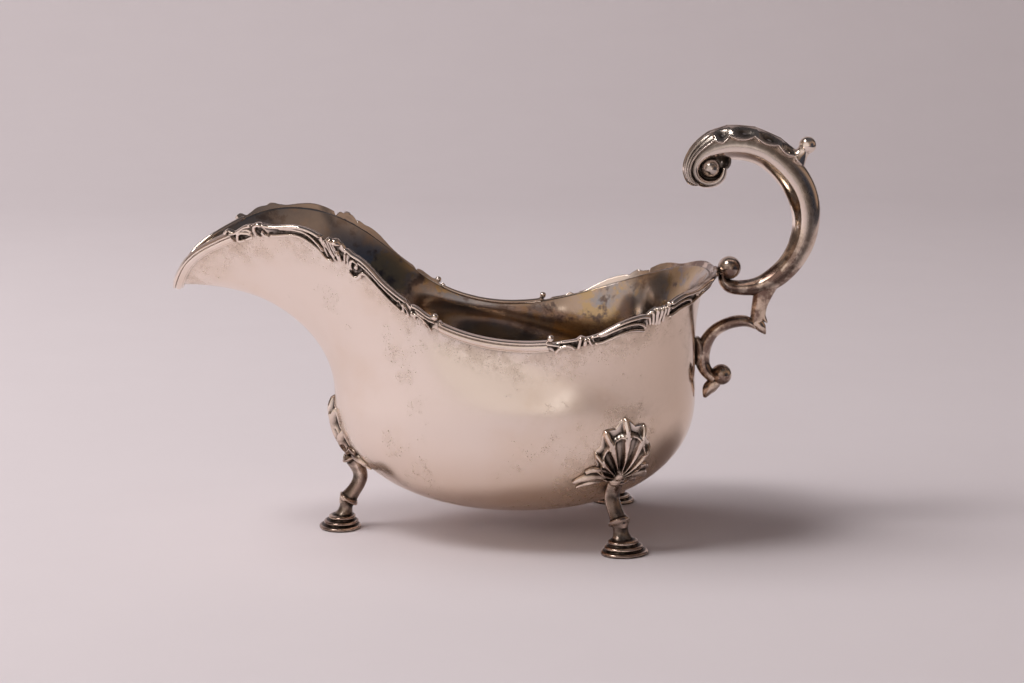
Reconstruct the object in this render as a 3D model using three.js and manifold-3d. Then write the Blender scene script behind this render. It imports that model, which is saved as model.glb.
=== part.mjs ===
// Silver sauce boat: a raised bowl with a pouring spout, an applied cast border round its edge,
// a double-scroll handle that flies above the rim, and three shell-headed hoof feet.
// Units are millimetres, +Z is up. The spout points along -X and the handle stands at +X.
// The origin is under the middle of the whole object, on the surface that the feet stand on.
// "Left" is the -Y side and "right" the +Y side, as seen from the handle looking to the spout.
import * as THREE from "three";
import { mergeVertices } from "three/addons/utils/BufferGeometryUtils.js";
import Module from "manifold-3d";

const wasm = await Module();
wasm.setup();

// ---------------------------------------------------------------- driving dimensions
const GAP = 0.3; // the solder gap between two touching pieces
const CLEAR = 0.1; // added to the gap where a thin sheet lies on a faceted surface
const WALL = 1.0; // sheet thickness of the bowl

// Below its widest ring the bowl is a super-ellipsoid, egg-shaped in plan.
const BELLY = { front: -44.8, back: 55.0, widest: 10, half: 37, z: 38 };
const BOWL_BOTTOM = { x: 5, z: 6.2 };
const PLAN_POWER = { front: 2.05, back: 2.35 };
const DEPTH_POWER = 2.15;

// Stations of the bowl's edge from the spout's tip round to the handle, on the right side.
// turn: where the wall's column leaves the belly, in degrees from the spout.
// rise: how strongly the column climbs upright from the belly; flare: how it leaves at the edge.
const EDGE = [
  { turn: 0, at: [-87.9, 0, 69.0], rise: 23, flare: [-21, 0, -0.4] },
  { turn: 8, at: [-84.3, 8.2, 75.8], rise: 23, flare: [-14, 3.0, 6] },
  { turn: 16, at: [-76.2, 12.4, 82.0], rise: 23, flare: [-9, 4, 9] },
  { turn: 26, at: [-64.6, 20.0, 86.6], rise: 22, flare: [-5, 5, 11] },
  { turn: 38, at: [-50.0, 24.6, 85.9], rise: 20, flare: [-3, 4, 11] },
  { turn: 53, at: [-34.3, 29.8, 77.0], rise: 16, flare: [-2, 3, 9] },
  { turn: 70, at: [-17.3, 32.4, 63.9], rise: 11, flare: [-0.8, 1.8, 7] },
  { turn: 89, at: [2.5, 34.2, 58.0], rise: 7, flare: [0, 1.0, 6] },
  { turn: 109, at: [22.5, 37.0, 59.8], rise: 7, flare: [0.3, 1.6, 6] },
  { turn: 132, at: [41.5, 33.2, 65.6], rise: 9, flare: [1.8, 2.0, 7] },
  { turn: 156, at: [54.6, 18.6, 70.6], rise: 11, flare: [4.2, 1.8, 7] },
  { turn: 180, at: [59.0, 0, 71.8], rise: 12, flare: [5.2, 0, 7] },
];
const RINGS_PER_STATION = 4; // facets of the bowl between two stations

// The border, one casting or wire after another from the spout's tip to the handle.
// Each outline row is [distance along the edge, lower edge, upper edge], heights measured from
// the bowl's edge up the wall. Every casting has two ridges with a groove between them, which stand
// relief further out than its face.
const BORDER_FACE = 1.1; // how far the face of a casting stands off the wall
const RIDGE_INSET = 0.85; // how far in from the casting's edges its ridges run
const MIN_FACET = 0.4; // stops of a casting are at least this far apart
const LIP_WIRE = [[0, -1.7, 0.9], [29, -1.7, 0.9]];
const BORDER = [
  {
    name: "front_scroll",
    relief: 1.0,
    outline: [
      [29.3, -1.9, 1.6], [31, -2.2, 1.5], [34.5, -2.1, 1.7], [38, -1.9, 1.7],
      [39.6, -2.2, 2.3], [40.8, -2.3, 1.6],
    ],
  },
  {
    name: "shoulder_scroll",
    relief: 0.9,
    outline: [
      [41.1, -2.3, 1.5], [45, -2.1, 1.3], [49, -1.6, 1.9], [53, -1.8, 2.5],
      [55.5, -3.2, 2.4], [57.2, -5.2, 2.1],
    ],
  },
  {
    name: "shoulder_shell",
    relief: 1.5,
    outline: [
      [57.5, -5.2, 1.4], [59.4, -4.6, 2.6], [61.6, -3.4, 2.6], [63.4, -3.3, 4.2],
      [65, -3.6, 2.6],
    ],
  },
  {
    name: "waist_scroll",
    relief: 0.9,
    outline: [
      [65.3, -5.2, 3.1], [67, -5.4, 2.9], [70, -2.4, 3.1], [74, -1.8, 3.0],
      [79, -3.4, 1.7], [84, -3.8, 1.6], [86.4, -2.9, 1.5],
    ],
  },
  {
    name: "waist_shell",
    relief: 1.2,
    outline: [
      [86.7, -2.8, 1.3], [90, -2.7, 2.0], [93.4, -3.0, 1.9], [96.2, -2.1, 1.6],
    ],
    bead: [94.9, 2.1, 1.1],
  },
  { name: "side_wire", relief: 0.3, outline: [[96.5, -2.0, 0.9], [110, -1.9, 1.0], [124.5, -1.9, 1.0]] },
  {
    name: "rear_shell",
    relief: 1.2,
    outline: [
      [124.8, -1.9, 1.4], [128, -2.9, 1.2], [134, -2.7, 1.4], [137, -2.6, 0.8],
    ],
    bead: [126.1, 1.8, 1.1],
  },
  {
    name: "rear_scroll",
    relief: 0.9,
    outline: [
      [137.3, -2.4, 0.8], [141, -2.1, 1.3], [145, -1.8, 2.3], [149, -2.2, 2.4],
      [152.5, -3.1, 1.9],
    ],
  },
  {
    name: "quarter_shell",
    relief: 1.3,
    outline: [
      [152.8, -2.9, 2.0], [154.7, -2.9, 3.2], [157, -3.4, 2.0], [159.5, -2.9, 2.2],
    ],
  },
  {
    name: "back_scroll",
    relief: 0.9,
    outline: [
      [159.8, -2.8, 2.2], [164, -2.6, 2.8], [172, -2.3, 2.0], [181, -2.3, 2.5],
      [194.9, -2.2, 2.0],
    ],
  },
];

// Rows of [x, z, half thickness in the handle's plane, half width across it].
const HANDLE_SCROLL = [
  [62.3, 71.8, 0.9, 1.6],
  [62.5, 70.0, 1.3, 2.2],
  [64.0, 68.3, 1.8, 2.4],
  [67.5, 67.6, 2.1, 2.4],
  [72.0, 68.0, 2.5, 2.5],
  [77.2, 70.6, 3.0, 2.9],
  [81.2, 74.6, 3.2, 3.1],
  [84.0, 79.8, 3.5, 3.3],
  [85.2, 85.6, 3.75, 3.5],
  [84.8, 90.9, 4.1, 3.7],
  [82.4, 96.8, 4.3, 3.8],
  [78.1, 102.0, 4.3, 3.9],
  [72.7, 105.7, 4.2, 4.0],
  [67.0, 107.2, 4.3, 4.0],
  [61.6, 106.9, 4.0, 4.0],
  [57.2, 105.3, 2.8, 3.9],
  [54.4, 102.8, 1.7, 3.8],
  [53.7, 99.6, 1.3, 3.7],
  [55.6, 97.0, 1.3, 3.6],
  [58.8, 96.6, 1.3, 3.5],
  [61.6, 98.4, 1.2, 3.4],
  [62.3, 101.0, 1.0, 3.2],
];
const VOLUTE_BUTTON = { at: [58.6, 100.8], radius: 2.4, half: 4.6 };
const ROOT_BUTTON = { at: [64.3, 73.2], radius: 3.2, half: 3.6 };
const VOLUTE_WEB = [
  { at: [58.2, 101.2], radius: 4.7, half: 2.1 },
  { at: [61.6, 102.6], radius: 2.8, half: 2.1 },
];
// The leaf lies on the scroll between two shares of its length, and reaches round it by spread
// degrees each way, narrowing towards the bead.
const LEAF = { from: 0.79, to: 0.47, thickness: 1.1, spread: 78, narrowing: 0.72 };
const LEAF_STATIONS = 16;
const LEAF_ARC = 6; // facets across the leaf
const THUMB_BEAD = { at: [85.0, 107.0], radius: 2.45, stalk: [81.9, 102.4], neck: 1.6, root: 2.1 };
const BRACKET = [
  [73.6, 67.5, 2.6, 2.2],
  [73.0, 64.0, 2.2, 2.0],
  [72.5, 60.6, 2.1, 1.8],
  [72.0, 57.0, 1.7, 1.6],
];
const LOWER_SCROLL = [
  [71.8, 56.6, 0.8, 1.2],
  [69.4, 58.1, 1.5, 1.8],
  [66.2, 58.1, 1.7, 2.0],
  [62.6, 56.9, 1.7, 2.0],
  [59.4, 54.4, 1.8, 2.1],
  [57.6, 50.8, 2.0, 2.2],
  [57.2, 47.3, 2.0, 2.2],
  [58.2, 44.4, 1.8, 2.1],
  [60.6, 42.3, 1.7, 2.0],
];
const LOWER_BUTTON = { at: [62.5, 43.2], radius: 2.9, half: 3.2 };
const LOWER_LEAF = [
  [61.6, 41.2, 1.4, 1.8],
  [59.4, 39.6, 1.9, 1.8],
  [58.0, 36.8, 0.5, 0.6],
];
const LOWER_SEAT = { low: 46.3, high: 53.3, half: 2.2, reach: 3.4, sunk: 0.6 };

// Feet: one under the spout and one at each rear quarter. outward is in degrees from +X.
const FEET = [
  { name: "front", base: [-43.8, 0], outward: 180, station: 0 },
  { name: "left", base: [34.1, -30], outward: -56, station: 13.5 },
  { name: "right", base: [34.1, 30], outward: 56, station: 8.5 },
];
// Rows of [distance outward from the middle of the pad, height, half thickness, half width].
const LEG = [
  [-2.4, 21.6, 0.9, 1.6],
  [-3.6, 20.0, 2.1, 2.3],
  [-4.8, 17.9, 2.0, 2.1],
  [-5.8, 15.0, 1.95, 2.05],
  [-4.9, 12.1, 1.95, 2.2],
  [-3.1, 9.4, 2.2, 2.5],
  [-2.2, 8.0, 2.4, 2.7],
  [-1.8, 6.2, 2.0, 2.1],
];
const KNEE = [
  [-3.6, 19.6, 1.8, 1.9],
  [-1.1, 20.4, 0.6, 0.8],
];
// Rows of [height, half width, shift outward]: the stepped hoof.
const HOOF = [
  [0, 6.6, 0],
  [1.0, 6.7, 0],
  [1.1, 5.5, -0.2],
  [2.2, 5.6, -0.3],
  [2.3, 4.4, -0.5],
  [3.5, 4.3, -0.7],
  [3.7, 3.2, -0.9],
  [5.0, 2.4, -1.4],
  [6.6, 2.2, -1.8],
];
const HOOF_LENGTH = 0.86; // the hoof's length as a share of its width
const HOOF_SIDES = 16;
// How the wall is walked from low down: from and step count levels of the bowl, reach counts stations.
const WALL_SEARCH = { from: 0.4, step: 0.005, reach: 0.05 };
// The palmette: ribs fan out from its root, low on the wall, the middle one longest. Bands cross the
// ribs at shares of their length, and each band stands off the wall by its height.
const SHELL = { rootHeight: 21.8, top: 17.6, side: 4.6, point: 1.8, sweep: 88, ribs: 9, tilt: 4.8 };
const SHELL_BANDS = [
  { share: 0.12, height: 1.2 },
  { share: 0.4, height: 1.5 },
  { share: 0.68, height: 1.9 },
  { share: 0.88, height: 1.4 },
  { share: 1, height: 0.5 },
];
const WING = [[3.0, -0.4, 1.3], [7.0, 0.2, 1.2], [11.0, -1.6, 0.7]]; // [sideways, up the wall, radius]
const WING_WIDTH = 1.5; // the wing's half width as a share of its radius
const WING_LEVEL = 0.6; // the level of the bowl that the wing lies at
const WING_STEPS = 6;
const WING_SIDES = 6;

// ---------------------------------------------------------------- small helpers
const SPLINE_PASSES = 40;
const BALL_SIDES = 12;
const SAME_PLACE = 1e-4; // corners closer than this are one corner
const SLIGHT = 1e-3; // the step, in stations or shares, over which slopes are measured
const rad = THREE.MathUtils.degToRad;
const V = (x, y, z) => new THREE.Vector3(x, y, z);
const power = (base, exponent) => Math.sign(base) * Math.abs(base) ** exponent;
const range = (count, make) => Array.from({ length: count }, (_, i) => make(i));

// Smooth closed curve through rows of numbers, one row for each whole step of t: a cubic B-spline
// whose control rows are found by relaxing them until the curve passes through every row.
function closedSpline(rows) {
  const count = rows.length;
  const wrap = (i) => ((i % count) + count) % count;
  const control = rows.map((row) => [...row]);
  for (let pass = 0; pass < SPLINE_PASSES; pass++) {
    for (let i = 0; i < count; i++) {
      const before = control[wrap(i - 1)];
      const after = control[wrap(i + 1)];
      control[i] = rows[i].map((value, k) => (6 * value - before[k] - after[k]) / 4);
    }
  }
  return (t) => {
    const i = Math.floor(t);
    const f = t - i;
    const weights = [
      (1 - f) ** 3,
      3 * f ** 3 - 6 * f ** 2 + 4,
      -3 * f ** 3 + 3 * f ** 2 + 3 * f + 1,
      f ** 3,
    ];
    const blend = (k) => weights.reduce((sum, w, j) => sum + (w / 6) * control[wrap(i + j - 1)][k], 0);
    return rows[0].map((_, k) => blend(k));
  };
}

// Smooth open curve through rows of four numbers, read at a share of its length from 0 to 1.
function openSpline(rows) {
  const places = new THREE.CatmullRomCurve3(rows.map(([a, b]) => V(a, b, 0)), false, "centripetal");
  const sizes = new THREE.CatmullRomCurve3(rows.map(([, , c, d]) => V(c, d, 0)), false, "centripetal");
  return (share) => ({
    at: places.getPoint(share),
    size: sizes.getPoint(share),
    ahead: places.getTangent(share),
  });
}

// Turns every triangle round when the surface encloses a negative volume.
function facingOut(geometry) {
  const place = geometry.attributes.position;
  const index = geometry.index.array;
  const corner = (i) => V().fromBufferAttribute(place, index[i]);
  let volume = 0;
  for (let i = 0; i < index.length; i += 3) {
    volume += corner(i).dot(corner(i + 1).cross(corner(i + 2)));
  }
  if (volume < 0) {
    for (let i = 0; i < index.length; i += 3) {
      [index[i], index[i + 1]] = [index[i + 1], index[i]];
    }
  }
  return geometry;
}

// Closed solid from rings that hold the same number of points, closed by a fan at both ends.
function loft(rings) {
  const n = rings[0].length;
  const points = rings.flat();
  const index = [];
  for (let r = 0; r + 1 < rings.length; r++) {
    for (let i = 0; i < n; i++) {
      const a = r * n + i;
      const b = r * n + ((i + 1) % n);
      index.push(a, b, a + n, b, b + n, a + n);
    }
  }
  for (const r of [0, rings.length - 1]) {
    const centre = points.length;
    points.push(rings[r].reduce((sum, p) => sum.add(p), V(0, 0, 0)).divideScalar(n));
    for (let i = 0; i < n; i++) {
      const a = r * n + i;
      const b = r * n + ((i + 1) % n);
      index.push(...(r === 0 ? [centre, b, a] : [centre, a, b]));
    }
  }
  return facingOut(new THREE.BufferGeometry().setFromPoints(points).setIndex(index));
}

function solid(geometry) {
  const bare = new THREE.BufferGeometry().setAttribute("position", geometry.getAttribute("position"));
  const merged = mergeVertices(bare.setIndex(geometry.index), SAME_PLACE);
  const vertProperties = new Float32Array(merged.attributes.position.array);
  const triVerts = new Uint32Array(merged.index.array);
  return new wasm.Manifold(new wasm.Mesh({ numProp: 3, vertProperties, triVerts }));
}

function geometryOf(manifold) {
  const mesh = manifold.getMesh();
  const geometry = new THREE.BufferGeometry();
  geometry.setAttribute("position", new THREE.Float32BufferAttribute(mesh.vertProperties, 3));
  return geometry.setIndex(new THREE.Uint32BufferAttribute(mesh.triVerts, 1));
}

const cut = (shape, ...tools) =>
  geometryOf(tools.map(solid).reduce((left, tool) => left.subtract(tool), solid(shape)));
const join = (...shapes) => geometryOf(shapes.map(solid).reduce((all, one) => all.add(one)));

// Tube with an oval section, whose path lies in the upright plane through the origin of a frame.
// swell widens the tube, for cutting a neighbour back to the solder gap.
function sweep(rows, { steps, swell = 0, frame = new THREE.Matrix4() }) {
  const curve = openSpline(rows);
  const sides = 8;
  const ring = (i) => {
    const { at, size, ahead } = curve(i / steps);
    return range(sides, (k) => {
      const angle = (2 * Math.PI * (k + 0.5)) / sides;
      const out = Math.cos(angle) * (size.x + swell);
      const side = Math.sin(angle) * (size.y + swell);
      return V(at.x + ahead.y * out, side, at.y - ahead.x * out).applyMatrix4(frame);
    });
  };
  return loft(range(steps + 1, ring));
}

function button({ at: [x, z], radius, half = radius }) {
  const ball = new THREE.SphereGeometry(radius, BALL_SIDES, BALL_SIDES / 2);
  return ball.scale(1, half / radius, 1).translate(x, 0, z);
}

const group = new THREE.Group();
const bowlSilver = new THREE.MeshStandardMaterial({ color: 0xcfc8c0, metalness: 1, roughness: 0.16 });
const castSilver = new THREE.MeshStandardMaterial({ color: 0xbdb3a8, metalness: 1, roughness: 0.24 });

function place(name, geometry, material = castSilver) {
  const mesh = new THREE.Mesh(geometry, material);
  mesh.name = name;
  group.add(mesh);
}

// The same piece on the right side and, mirrored, on the left side.
function placeBothSides(name, geometry) {
  place(`${name}_right`, geometry);
  place(`${name}_left`, facingOut(geometry.clone().scale(1, -1, 1)));
}

// ---------------------------------------------------------------- bowl
const mirrored = ({ turn, at: [x, y, z], rise, flare: [fx, fy, fz] }) => ({
  turn: 360 - turn,
  at: [x, -y, z],
  rise,
  flare: [fx, -fy, fz],
});
const wholeEdge = [...EDGE, ...EDGE.slice(1, -1).reverse().map(mirrored)];
const STATIONS = wholeEdge.length;
// The turn grows by a whole circle round the edge, so its drift from an even pace is splined.
const evenTurn = (t) => (360 * t) / STATIONS;
const edgeRow = (s, i) => [s.turn - evenTurn(i), ...s.at, s.rise, ...s.flare];
const edgeSpline = closedSpline(wholeEdge.map(edgeRow));

// Point of the widest ring, at an angle from the spout.
function bellyPoint(turn) {
  const ahead = Math.cos(turn);
  const isFront = ahead > 0;
  const reach = isFront ? BELLY.front - BELLY.widest : BELLY.widest - BELLY.back;
  const exponent = 2 / (isFront ? PLAN_POWER.front : PLAN_POWER.back);
  const x = BELLY.widest + reach * power(ahead, exponent);
  return V(x, BELLY.half * power(Math.sin(turn), exponent), BELLY.z);
}

// Outer surface: t counts stations round the edge, v runs from 0 at the bottom to 1 at the belly
// and to 2 at the edge.
function bowlPoint(t, v) {
  const [drift, x, y, z, rise, ...flare] = edgeSpline(t);
  const belly = bellyPoint(rad(drift + evenTurn(t)));
  if (v <= 1) {
    const lift = rad(90 * v);
    const out = power(Math.sin(lift), 2 / DEPTH_POWER);
    const down = power(Math.cos(lift), 2 / DEPTH_POWER);
    const across = BOWL_BOTTOM.x + (belly.x - BOWL_BOTTOM.x) * out;
    return V(across, belly.y * out, BELLY.z - (BELLY.z - BOWL_BOTTOM.z) * down);
  }
  const upright = belly.clone().add(V(0, 0, rise));
  const leaving = V(x, y, z).sub(V(...flare));
  return new THREE.CubicBezierCurve3(belly, upright, leaving, V(x, y, z)).getPoint(v - 1);
}

function bowlNormal(t, v) {
  const top = Math.min(v + SLIGHT, 2);
  const along = bowlPoint(t + SLIGHT, v).sub(bowlPoint(t - SLIGHT, v));
  const up = bowlPoint(t, top).sub(bowlPoint(t, top - 2 * SLIGHT));
  return up.cross(along).normalize();
}

const RING_COUNT = STATIONS * RINGS_PER_STATION;
const BOWL_LEVELS = [0.06, 0.2, 0.36, 0.52, 0.68, 0.84, 1, 1.16, 1.34, 1.52, 1.68, 1.84, 2];
const BAND_LEVEL = BOWL_LEVELS.at(-2); // the border lies on the facets between this level and the edge

function bowlRing(v, outward) {
  return range(RING_COUNT, (i) => {
    const t = i / RINGS_PER_STATION;
    return bowlPoint(t, v).addScaledVector(bowlNormal(t, v), outward);
  });
}

const bowlSkin = (outward) => BOWL_LEVELS.map((v) => bowlRing(v, outward));
// The bowl's outside as a solid block, swollen by the solder gap, for cutting what is soldered to it.
const bowlBlock = loft(bowlSkin(GAP));

place("bowl", loft([...bowlSkin(0), ...bowlSkin(-WALL).reverse()]), bowlSilver);

// ---------------------------------------------------------------- border
// Frames at the bowl's edge facets: out leaves the wall, up climbs it.
const edgeFrames = range(RING_COUNT / 2 + 1, (i) => {
  const t = i / RINGS_PER_STATION;
  const at = bowlPoint(t, 2);
  const up = at.clone().sub(bowlPoint(t, BAND_LEVEL)).normalize();
  const along = bowlPoint(t + SLIGHT, 2).sub(bowlPoint(t - SLIGHT, 2));
  return { at, up, out: up.clone().cross(along).normalize() };
});
const edgeRuns = edgeFrames.slice(1).map((frame, i) => frame.at.distanceTo(edgeFrames[i].at));
const edgeMiles = edgeRuns.reduce((miles, run) => [...miles, miles.at(-1) + run], [0]);

// Frame at a distance along the edge, on the straight facet between two frames.
function edgeAt(distance) {
  const after = edgeMiles.findIndex((mile) => mile > distance);
  const i = after < 0 ? edgeRuns.length - 1 : Math.max(after - 1, 0);
  const share = (distance - edgeMiles[i]) / edgeRuns[i];
  const mix = (key) => edgeFrames[i][key].clone().lerp(edgeFrames[i + 1][key], share);
  return { at: mix("at"), up: mix("up"), out: mix("out") };
}

// Section of the border as [out, up] pairs: a lip over the sheet's edge, and two ridges outside it.
function borderSection(low, high, relief) {
  const middle = (low + high) / 2;
  return [
    [GAP + CLEAR, low],
    [BORDER_FACE, low],
    [BORDER_FACE + relief, low + RIDGE_INSET],
    [BORDER_FACE, middle],
    [BORDER_FACE + relief, high - RIDGE_INSET],
    [BORDER_FACE, high],
    [GAP - WALL, high],
    [-WALL, GAP + CLEAR],
    [GAP + CLEAR, GAP + CLEAR],
  ];
}

function borderLength(outline, relief) {
  const start = outline[0][0];
  const end = outline.at(-1)[0];
  const miles = [...edgeMiles.slice(1).map((mile) => -mile), ...edgeMiles];
  const inner = miles.filter((mile) => mile > start + MIN_FACET && mile < end - MIN_FACET);
  const far = inner.filter((mile) => outline.every(([place]) => Math.abs(place - mile) > MIN_FACET));
  const stops = [...outline.map(([distance]) => distance), ...far].sort((a, b) => a - b);
  return stops.map((distance) => {
    const next = Math.max(1, outline.findIndex(([place]) => place >= distance));
    const [[s0, low0, high0], [s1, low1, high1]] = [outline[next - 1], outline[next]];
    const share = (distance - s0) / (s1 - s0);
    const low = THREE.MathUtils.lerp(low0, low1, share);
    const high = THREE.MathUtils.lerp(high0, high1, share);
    const { at, up, out } = edgeAt(Math.abs(distance));
    const point = ([n, h]) => at.clone().addScaledVector(out, n).addScaledVector(up, h);
    const ring = borderSection(low, high, relief).map(point);
    return distance < 0 ? ring.map((p) => V(p.x, -p.y, p.z)) : ring;
  });
}

const lipRow = ([distance, low, high]) => [-distance, low, high];
const lipOutline = [...LIP_WIRE.toReversed().map(lipRow), ...LIP_WIRE.slice(1)];
place("lip_wire", loft(borderLength(lipOutline, 0.3)));

for (const { name, relief, outline, bead } of BORDER) {
  let casting = loft(borderLength(outline, relief));
  if (bead) {
    const [distance, height, radius] = bead;
    const { at, up, out } = edgeAt(distance);
    const centre = at.clone().addScaledVector(up, height).addScaledVector(out, radius);
    const ball = new THREE.SphereGeometry(radius, 8, 6).translate(centre.x, centre.y, centre.z);
    casting = join(casting, ball);
  }
  placeBothSides(name, casting);
}

// ---------------------------------------------------------------- handle
const scrollBody = (swell) => sweep(HANDLE_SCROLL, { steps: 48, swell });
const scrollDiscs = [VOLUTE_BUTTON, ROOT_BUTTON, ...VOLUTE_WEB].map(button);
place("handle_scroll", cut(join(scrollBody(0), ...scrollDiscs), bowlBlock));

// The leaf lies over the outside of the scroll as a curved sheet that narrows to the thumb bead.
function leafSheet() {
  const curve = openSpline(HANDLE_SCROLL);
  const ring = (i) => {
    const done = i / LEAF_STATIONS;
    const { at, size, ahead } = curve(THREE.MathUtils.lerp(LEAF.from, LEAF.to, done));
    const spread = LEAF.spread * (1 - LEAF.narrowing * done ** 2);
    const edgePoint = (k, grow) => {
      const angle = rad(THREE.MathUtils.lerp(-spread, spread, k / LEAF_ARC));
      const out = Math.cos(angle) * (size.x + grow);
      return V(at.x + ahead.y * out, Math.sin(angle) * (size.y + grow), at.y - ahead.x * out);
    };
    const inside = range(LEAF_ARC + 1, (k) => edgePoint(k, GAP + CLEAR));
    const outside = range(LEAF_ARC + 1, (k) => edgePoint(LEAF_ARC - k, GAP + LEAF.thickness));
    return [...inside, ...outside];
  };
  return loft(range(LEAF_STATIONS + 1, ring));
}

const stalk = sweep(
  [
    [...THUMB_BEAD.stalk, THUMB_BEAD.root, THUMB_BEAD.root],
    [...THUMB_BEAD.at, THUMB_BEAD.neck, THUMB_BEAD.neck],
  ],
  { steps: 2 },
);
place("handle_leaf", join(leafSheet(), cut(join(stalk, button(THUMB_BEAD)), scrollBody(GAP))));

const lowerBody = (swell) => sweep(LOWER_SCROLL, { steps: 24, swell });
place("handle_bracket", cut(sweep(BRACKET, { steps: 6 }), scrollBody(GAP), lowerBody(GAP)));

const seatHeight = LOWER_SEAT.high - LOWER_SEAT.low;
const seatX = BELLY.back + LOWER_SEAT.reach / 2 - LOWER_SEAT.sunk;
const seat = new THREE.BoxGeometry(LOWER_SEAT.reach, 2 * LOWER_SEAT.half, seatHeight);
seat.translate(seatX, 0, LOWER_SEAT.low + seatHeight / 2);
const lowerParts = join(lowerBody(0), button(LOWER_BUTTON), sweep(LOWER_LEAF, { steps: 6 }), seat);
place("lower_scroll", cut(lowerParts, bowlBlock));

// ---------------------------------------------------------------- feet
// Point of the bowl near a foot, sideways and up along the wall from the root of its shell.
function wallPoint(station, sideways, climb, outward) {
  let v = WALL_SEARCH.from;
  while (bowlPoint(station, v).z < SHELL.rootHeight) v += WALL_SEARCH.step;
  const stride = Math.sign(climb) * WALL_SEARCH.step;
  for (let climbed = 0; climbed < Math.abs(climb); v += stride) {
    climbed += bowlPoint(station, v + stride).distanceTo(bowlPoint(station, v));
  }
  const near = WALL_SEARCH.reach;
  const run = bowlPoint(station + near, v).distanceTo(bowlPoint(station - near, v));
  const t = station + (sideways * 2 * near) / run;
  return bowlPoint(t, v).addScaledVector(bowlNormal(t, v), outward);
}

function palmette(station) {
  const isSide = station !== 0;
  const tilt = isSide ? SHELL.tilt * Math.sign(station - STATIONS / 2) : 0;
  const ribs = range(SHELL.ribs, (k) => {
    const angle = SHELL.sweep * ((2 * k) / (SHELL.ribs - 1) - 1);
    const length = SHELL.side + (SHELL.top - SHELL.side) * Math.cos(rad(angle)) ** SHELL.point;
    return { angle: angle - tilt, length };
  });
  const face = (outwardOf) =>
    SHELL_BANDS.map((band) =>
      ribs.map(({ angle, length }) => {
        const sideways = Math.sin(rad(angle)) * length * band.share;
        const climb = Math.cos(rad(angle)) * length * band.share;
        return wallPoint(station, sideways, climb, outwardOf(band));
      }),
    );
  const bottom = face(() => GAP + CLEAR);
  const top = face(({ height }) => GAP + height);
  // Each rib from the root to its end becomes a ring: along the top and back along the bottom.
  const ribRing = (k) => [...top.map((row) => row[k]), ...bottom.map((row) => row[k]).reverse()];
  return loft(range(SHELL.ribs, ribRing));
}

// A tapering tube along the wall beside the root of the shell.
function wing(station, side) {
  const centres = WING.map(([sideways, climb, radius]) =>
    wallPoint(station, side * sideways, climb, radius + GAP + CLEAR),
  );
  const path = new THREE.CatmullRomCurve3(centres);
  const ring = (i) => {
    const done = i / WING_STEPS;
    const ahead = path.getTangent(done);
    const outward = bowlNormal(station + (side * done) / 2, WING_LEVEL);
    const across = outward.clone().cross(ahead).normalize();
    const lift = ahead.clone().cross(across).normalize();
    const radius = THREE.MathUtils.lerp(WING[0][2], WING.at(-1)[2], done);
    return range(WING_SIDES, (k) => {
      const angle = (2 * Math.PI * k) / WING_SIDES;
      const point = path.getPoint(done);
      point.addScaledVector(across, WING_WIDTH * radius * Math.cos(angle));
      return point.addScaledVector(lift, radius * Math.sin(angle));
    });
  };
  return loft(range(WING_STEPS + 1, ring));
}

for (const { name, base, outward, station } of FEET) {
  const frame = new THREE.Matrix4().makeRotationZ(rad(outward)).setPosition(base[0], base[1], 0);
  const legBody = (swell) => sweep(LEG, { steps: 14, frame, swell });
  const knee = sweep(KNEE, { steps: 2, frame });
  const hoofRing = ([height, halfWidth, shift]) =>
    range(HOOF_SIDES, (k) => {
      const angle = (2 * Math.PI * k) / HOOF_SIDES;
      const along = shift + HOOF_LENGTH * halfWidth * Math.cos(angle);
      return V(along, halfWidth * Math.sin(angle), height).applyMatrix4(frame);
    });
  place(`${name}_leg`, cut(join(legBody(0), knee, loft(HOOF.map(hoofRing))), bowlBlock));
  const shell = join(palmette(station), wing(station, 1), wing(station, -1));
  const wideKnee = sweep(KNEE, { steps: 2, frame, swell: GAP });
  place(`${name}_shell`, cut(shell, legBody(GAP), wideKnee, bowlBlock));
}

export default group;
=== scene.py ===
"""Silver sauce boat: the fine visual model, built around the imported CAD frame.

Lengths are millimetres until a mesh is made, which is in metres. The spout points along -X, the
handle stands at +X, and the left side is the -Y side. Every piece stands for the CAD node or nodes
that it is named after.
"""
import math
import bpy
import numpy as np
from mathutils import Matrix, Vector


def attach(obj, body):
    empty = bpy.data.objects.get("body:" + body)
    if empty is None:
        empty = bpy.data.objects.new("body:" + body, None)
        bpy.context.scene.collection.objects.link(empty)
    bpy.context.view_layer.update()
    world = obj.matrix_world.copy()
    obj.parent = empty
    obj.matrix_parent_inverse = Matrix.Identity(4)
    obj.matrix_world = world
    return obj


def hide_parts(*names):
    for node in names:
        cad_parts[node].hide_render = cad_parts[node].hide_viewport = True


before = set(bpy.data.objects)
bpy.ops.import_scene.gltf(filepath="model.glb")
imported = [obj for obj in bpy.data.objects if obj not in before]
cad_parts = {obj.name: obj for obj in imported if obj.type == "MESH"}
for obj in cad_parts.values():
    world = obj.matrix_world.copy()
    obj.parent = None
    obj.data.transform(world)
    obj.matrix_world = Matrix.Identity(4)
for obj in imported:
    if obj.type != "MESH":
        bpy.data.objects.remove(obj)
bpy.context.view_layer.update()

MM = 0.001
WALL = 1.0  # thickness of the bowl's sheet

# ---- the bowl's driving dimensions
BELLY = {"front": -44.8, "back": 55.0, "widest": 10, "half": 37, "z": 38}
BOWL_BOTTOM = {"x": 5, "z": 6.2}
PLAN_POWER = {"front": 2.05, "back": 2.35}
DEPTH_POWER = 2.15
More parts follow.
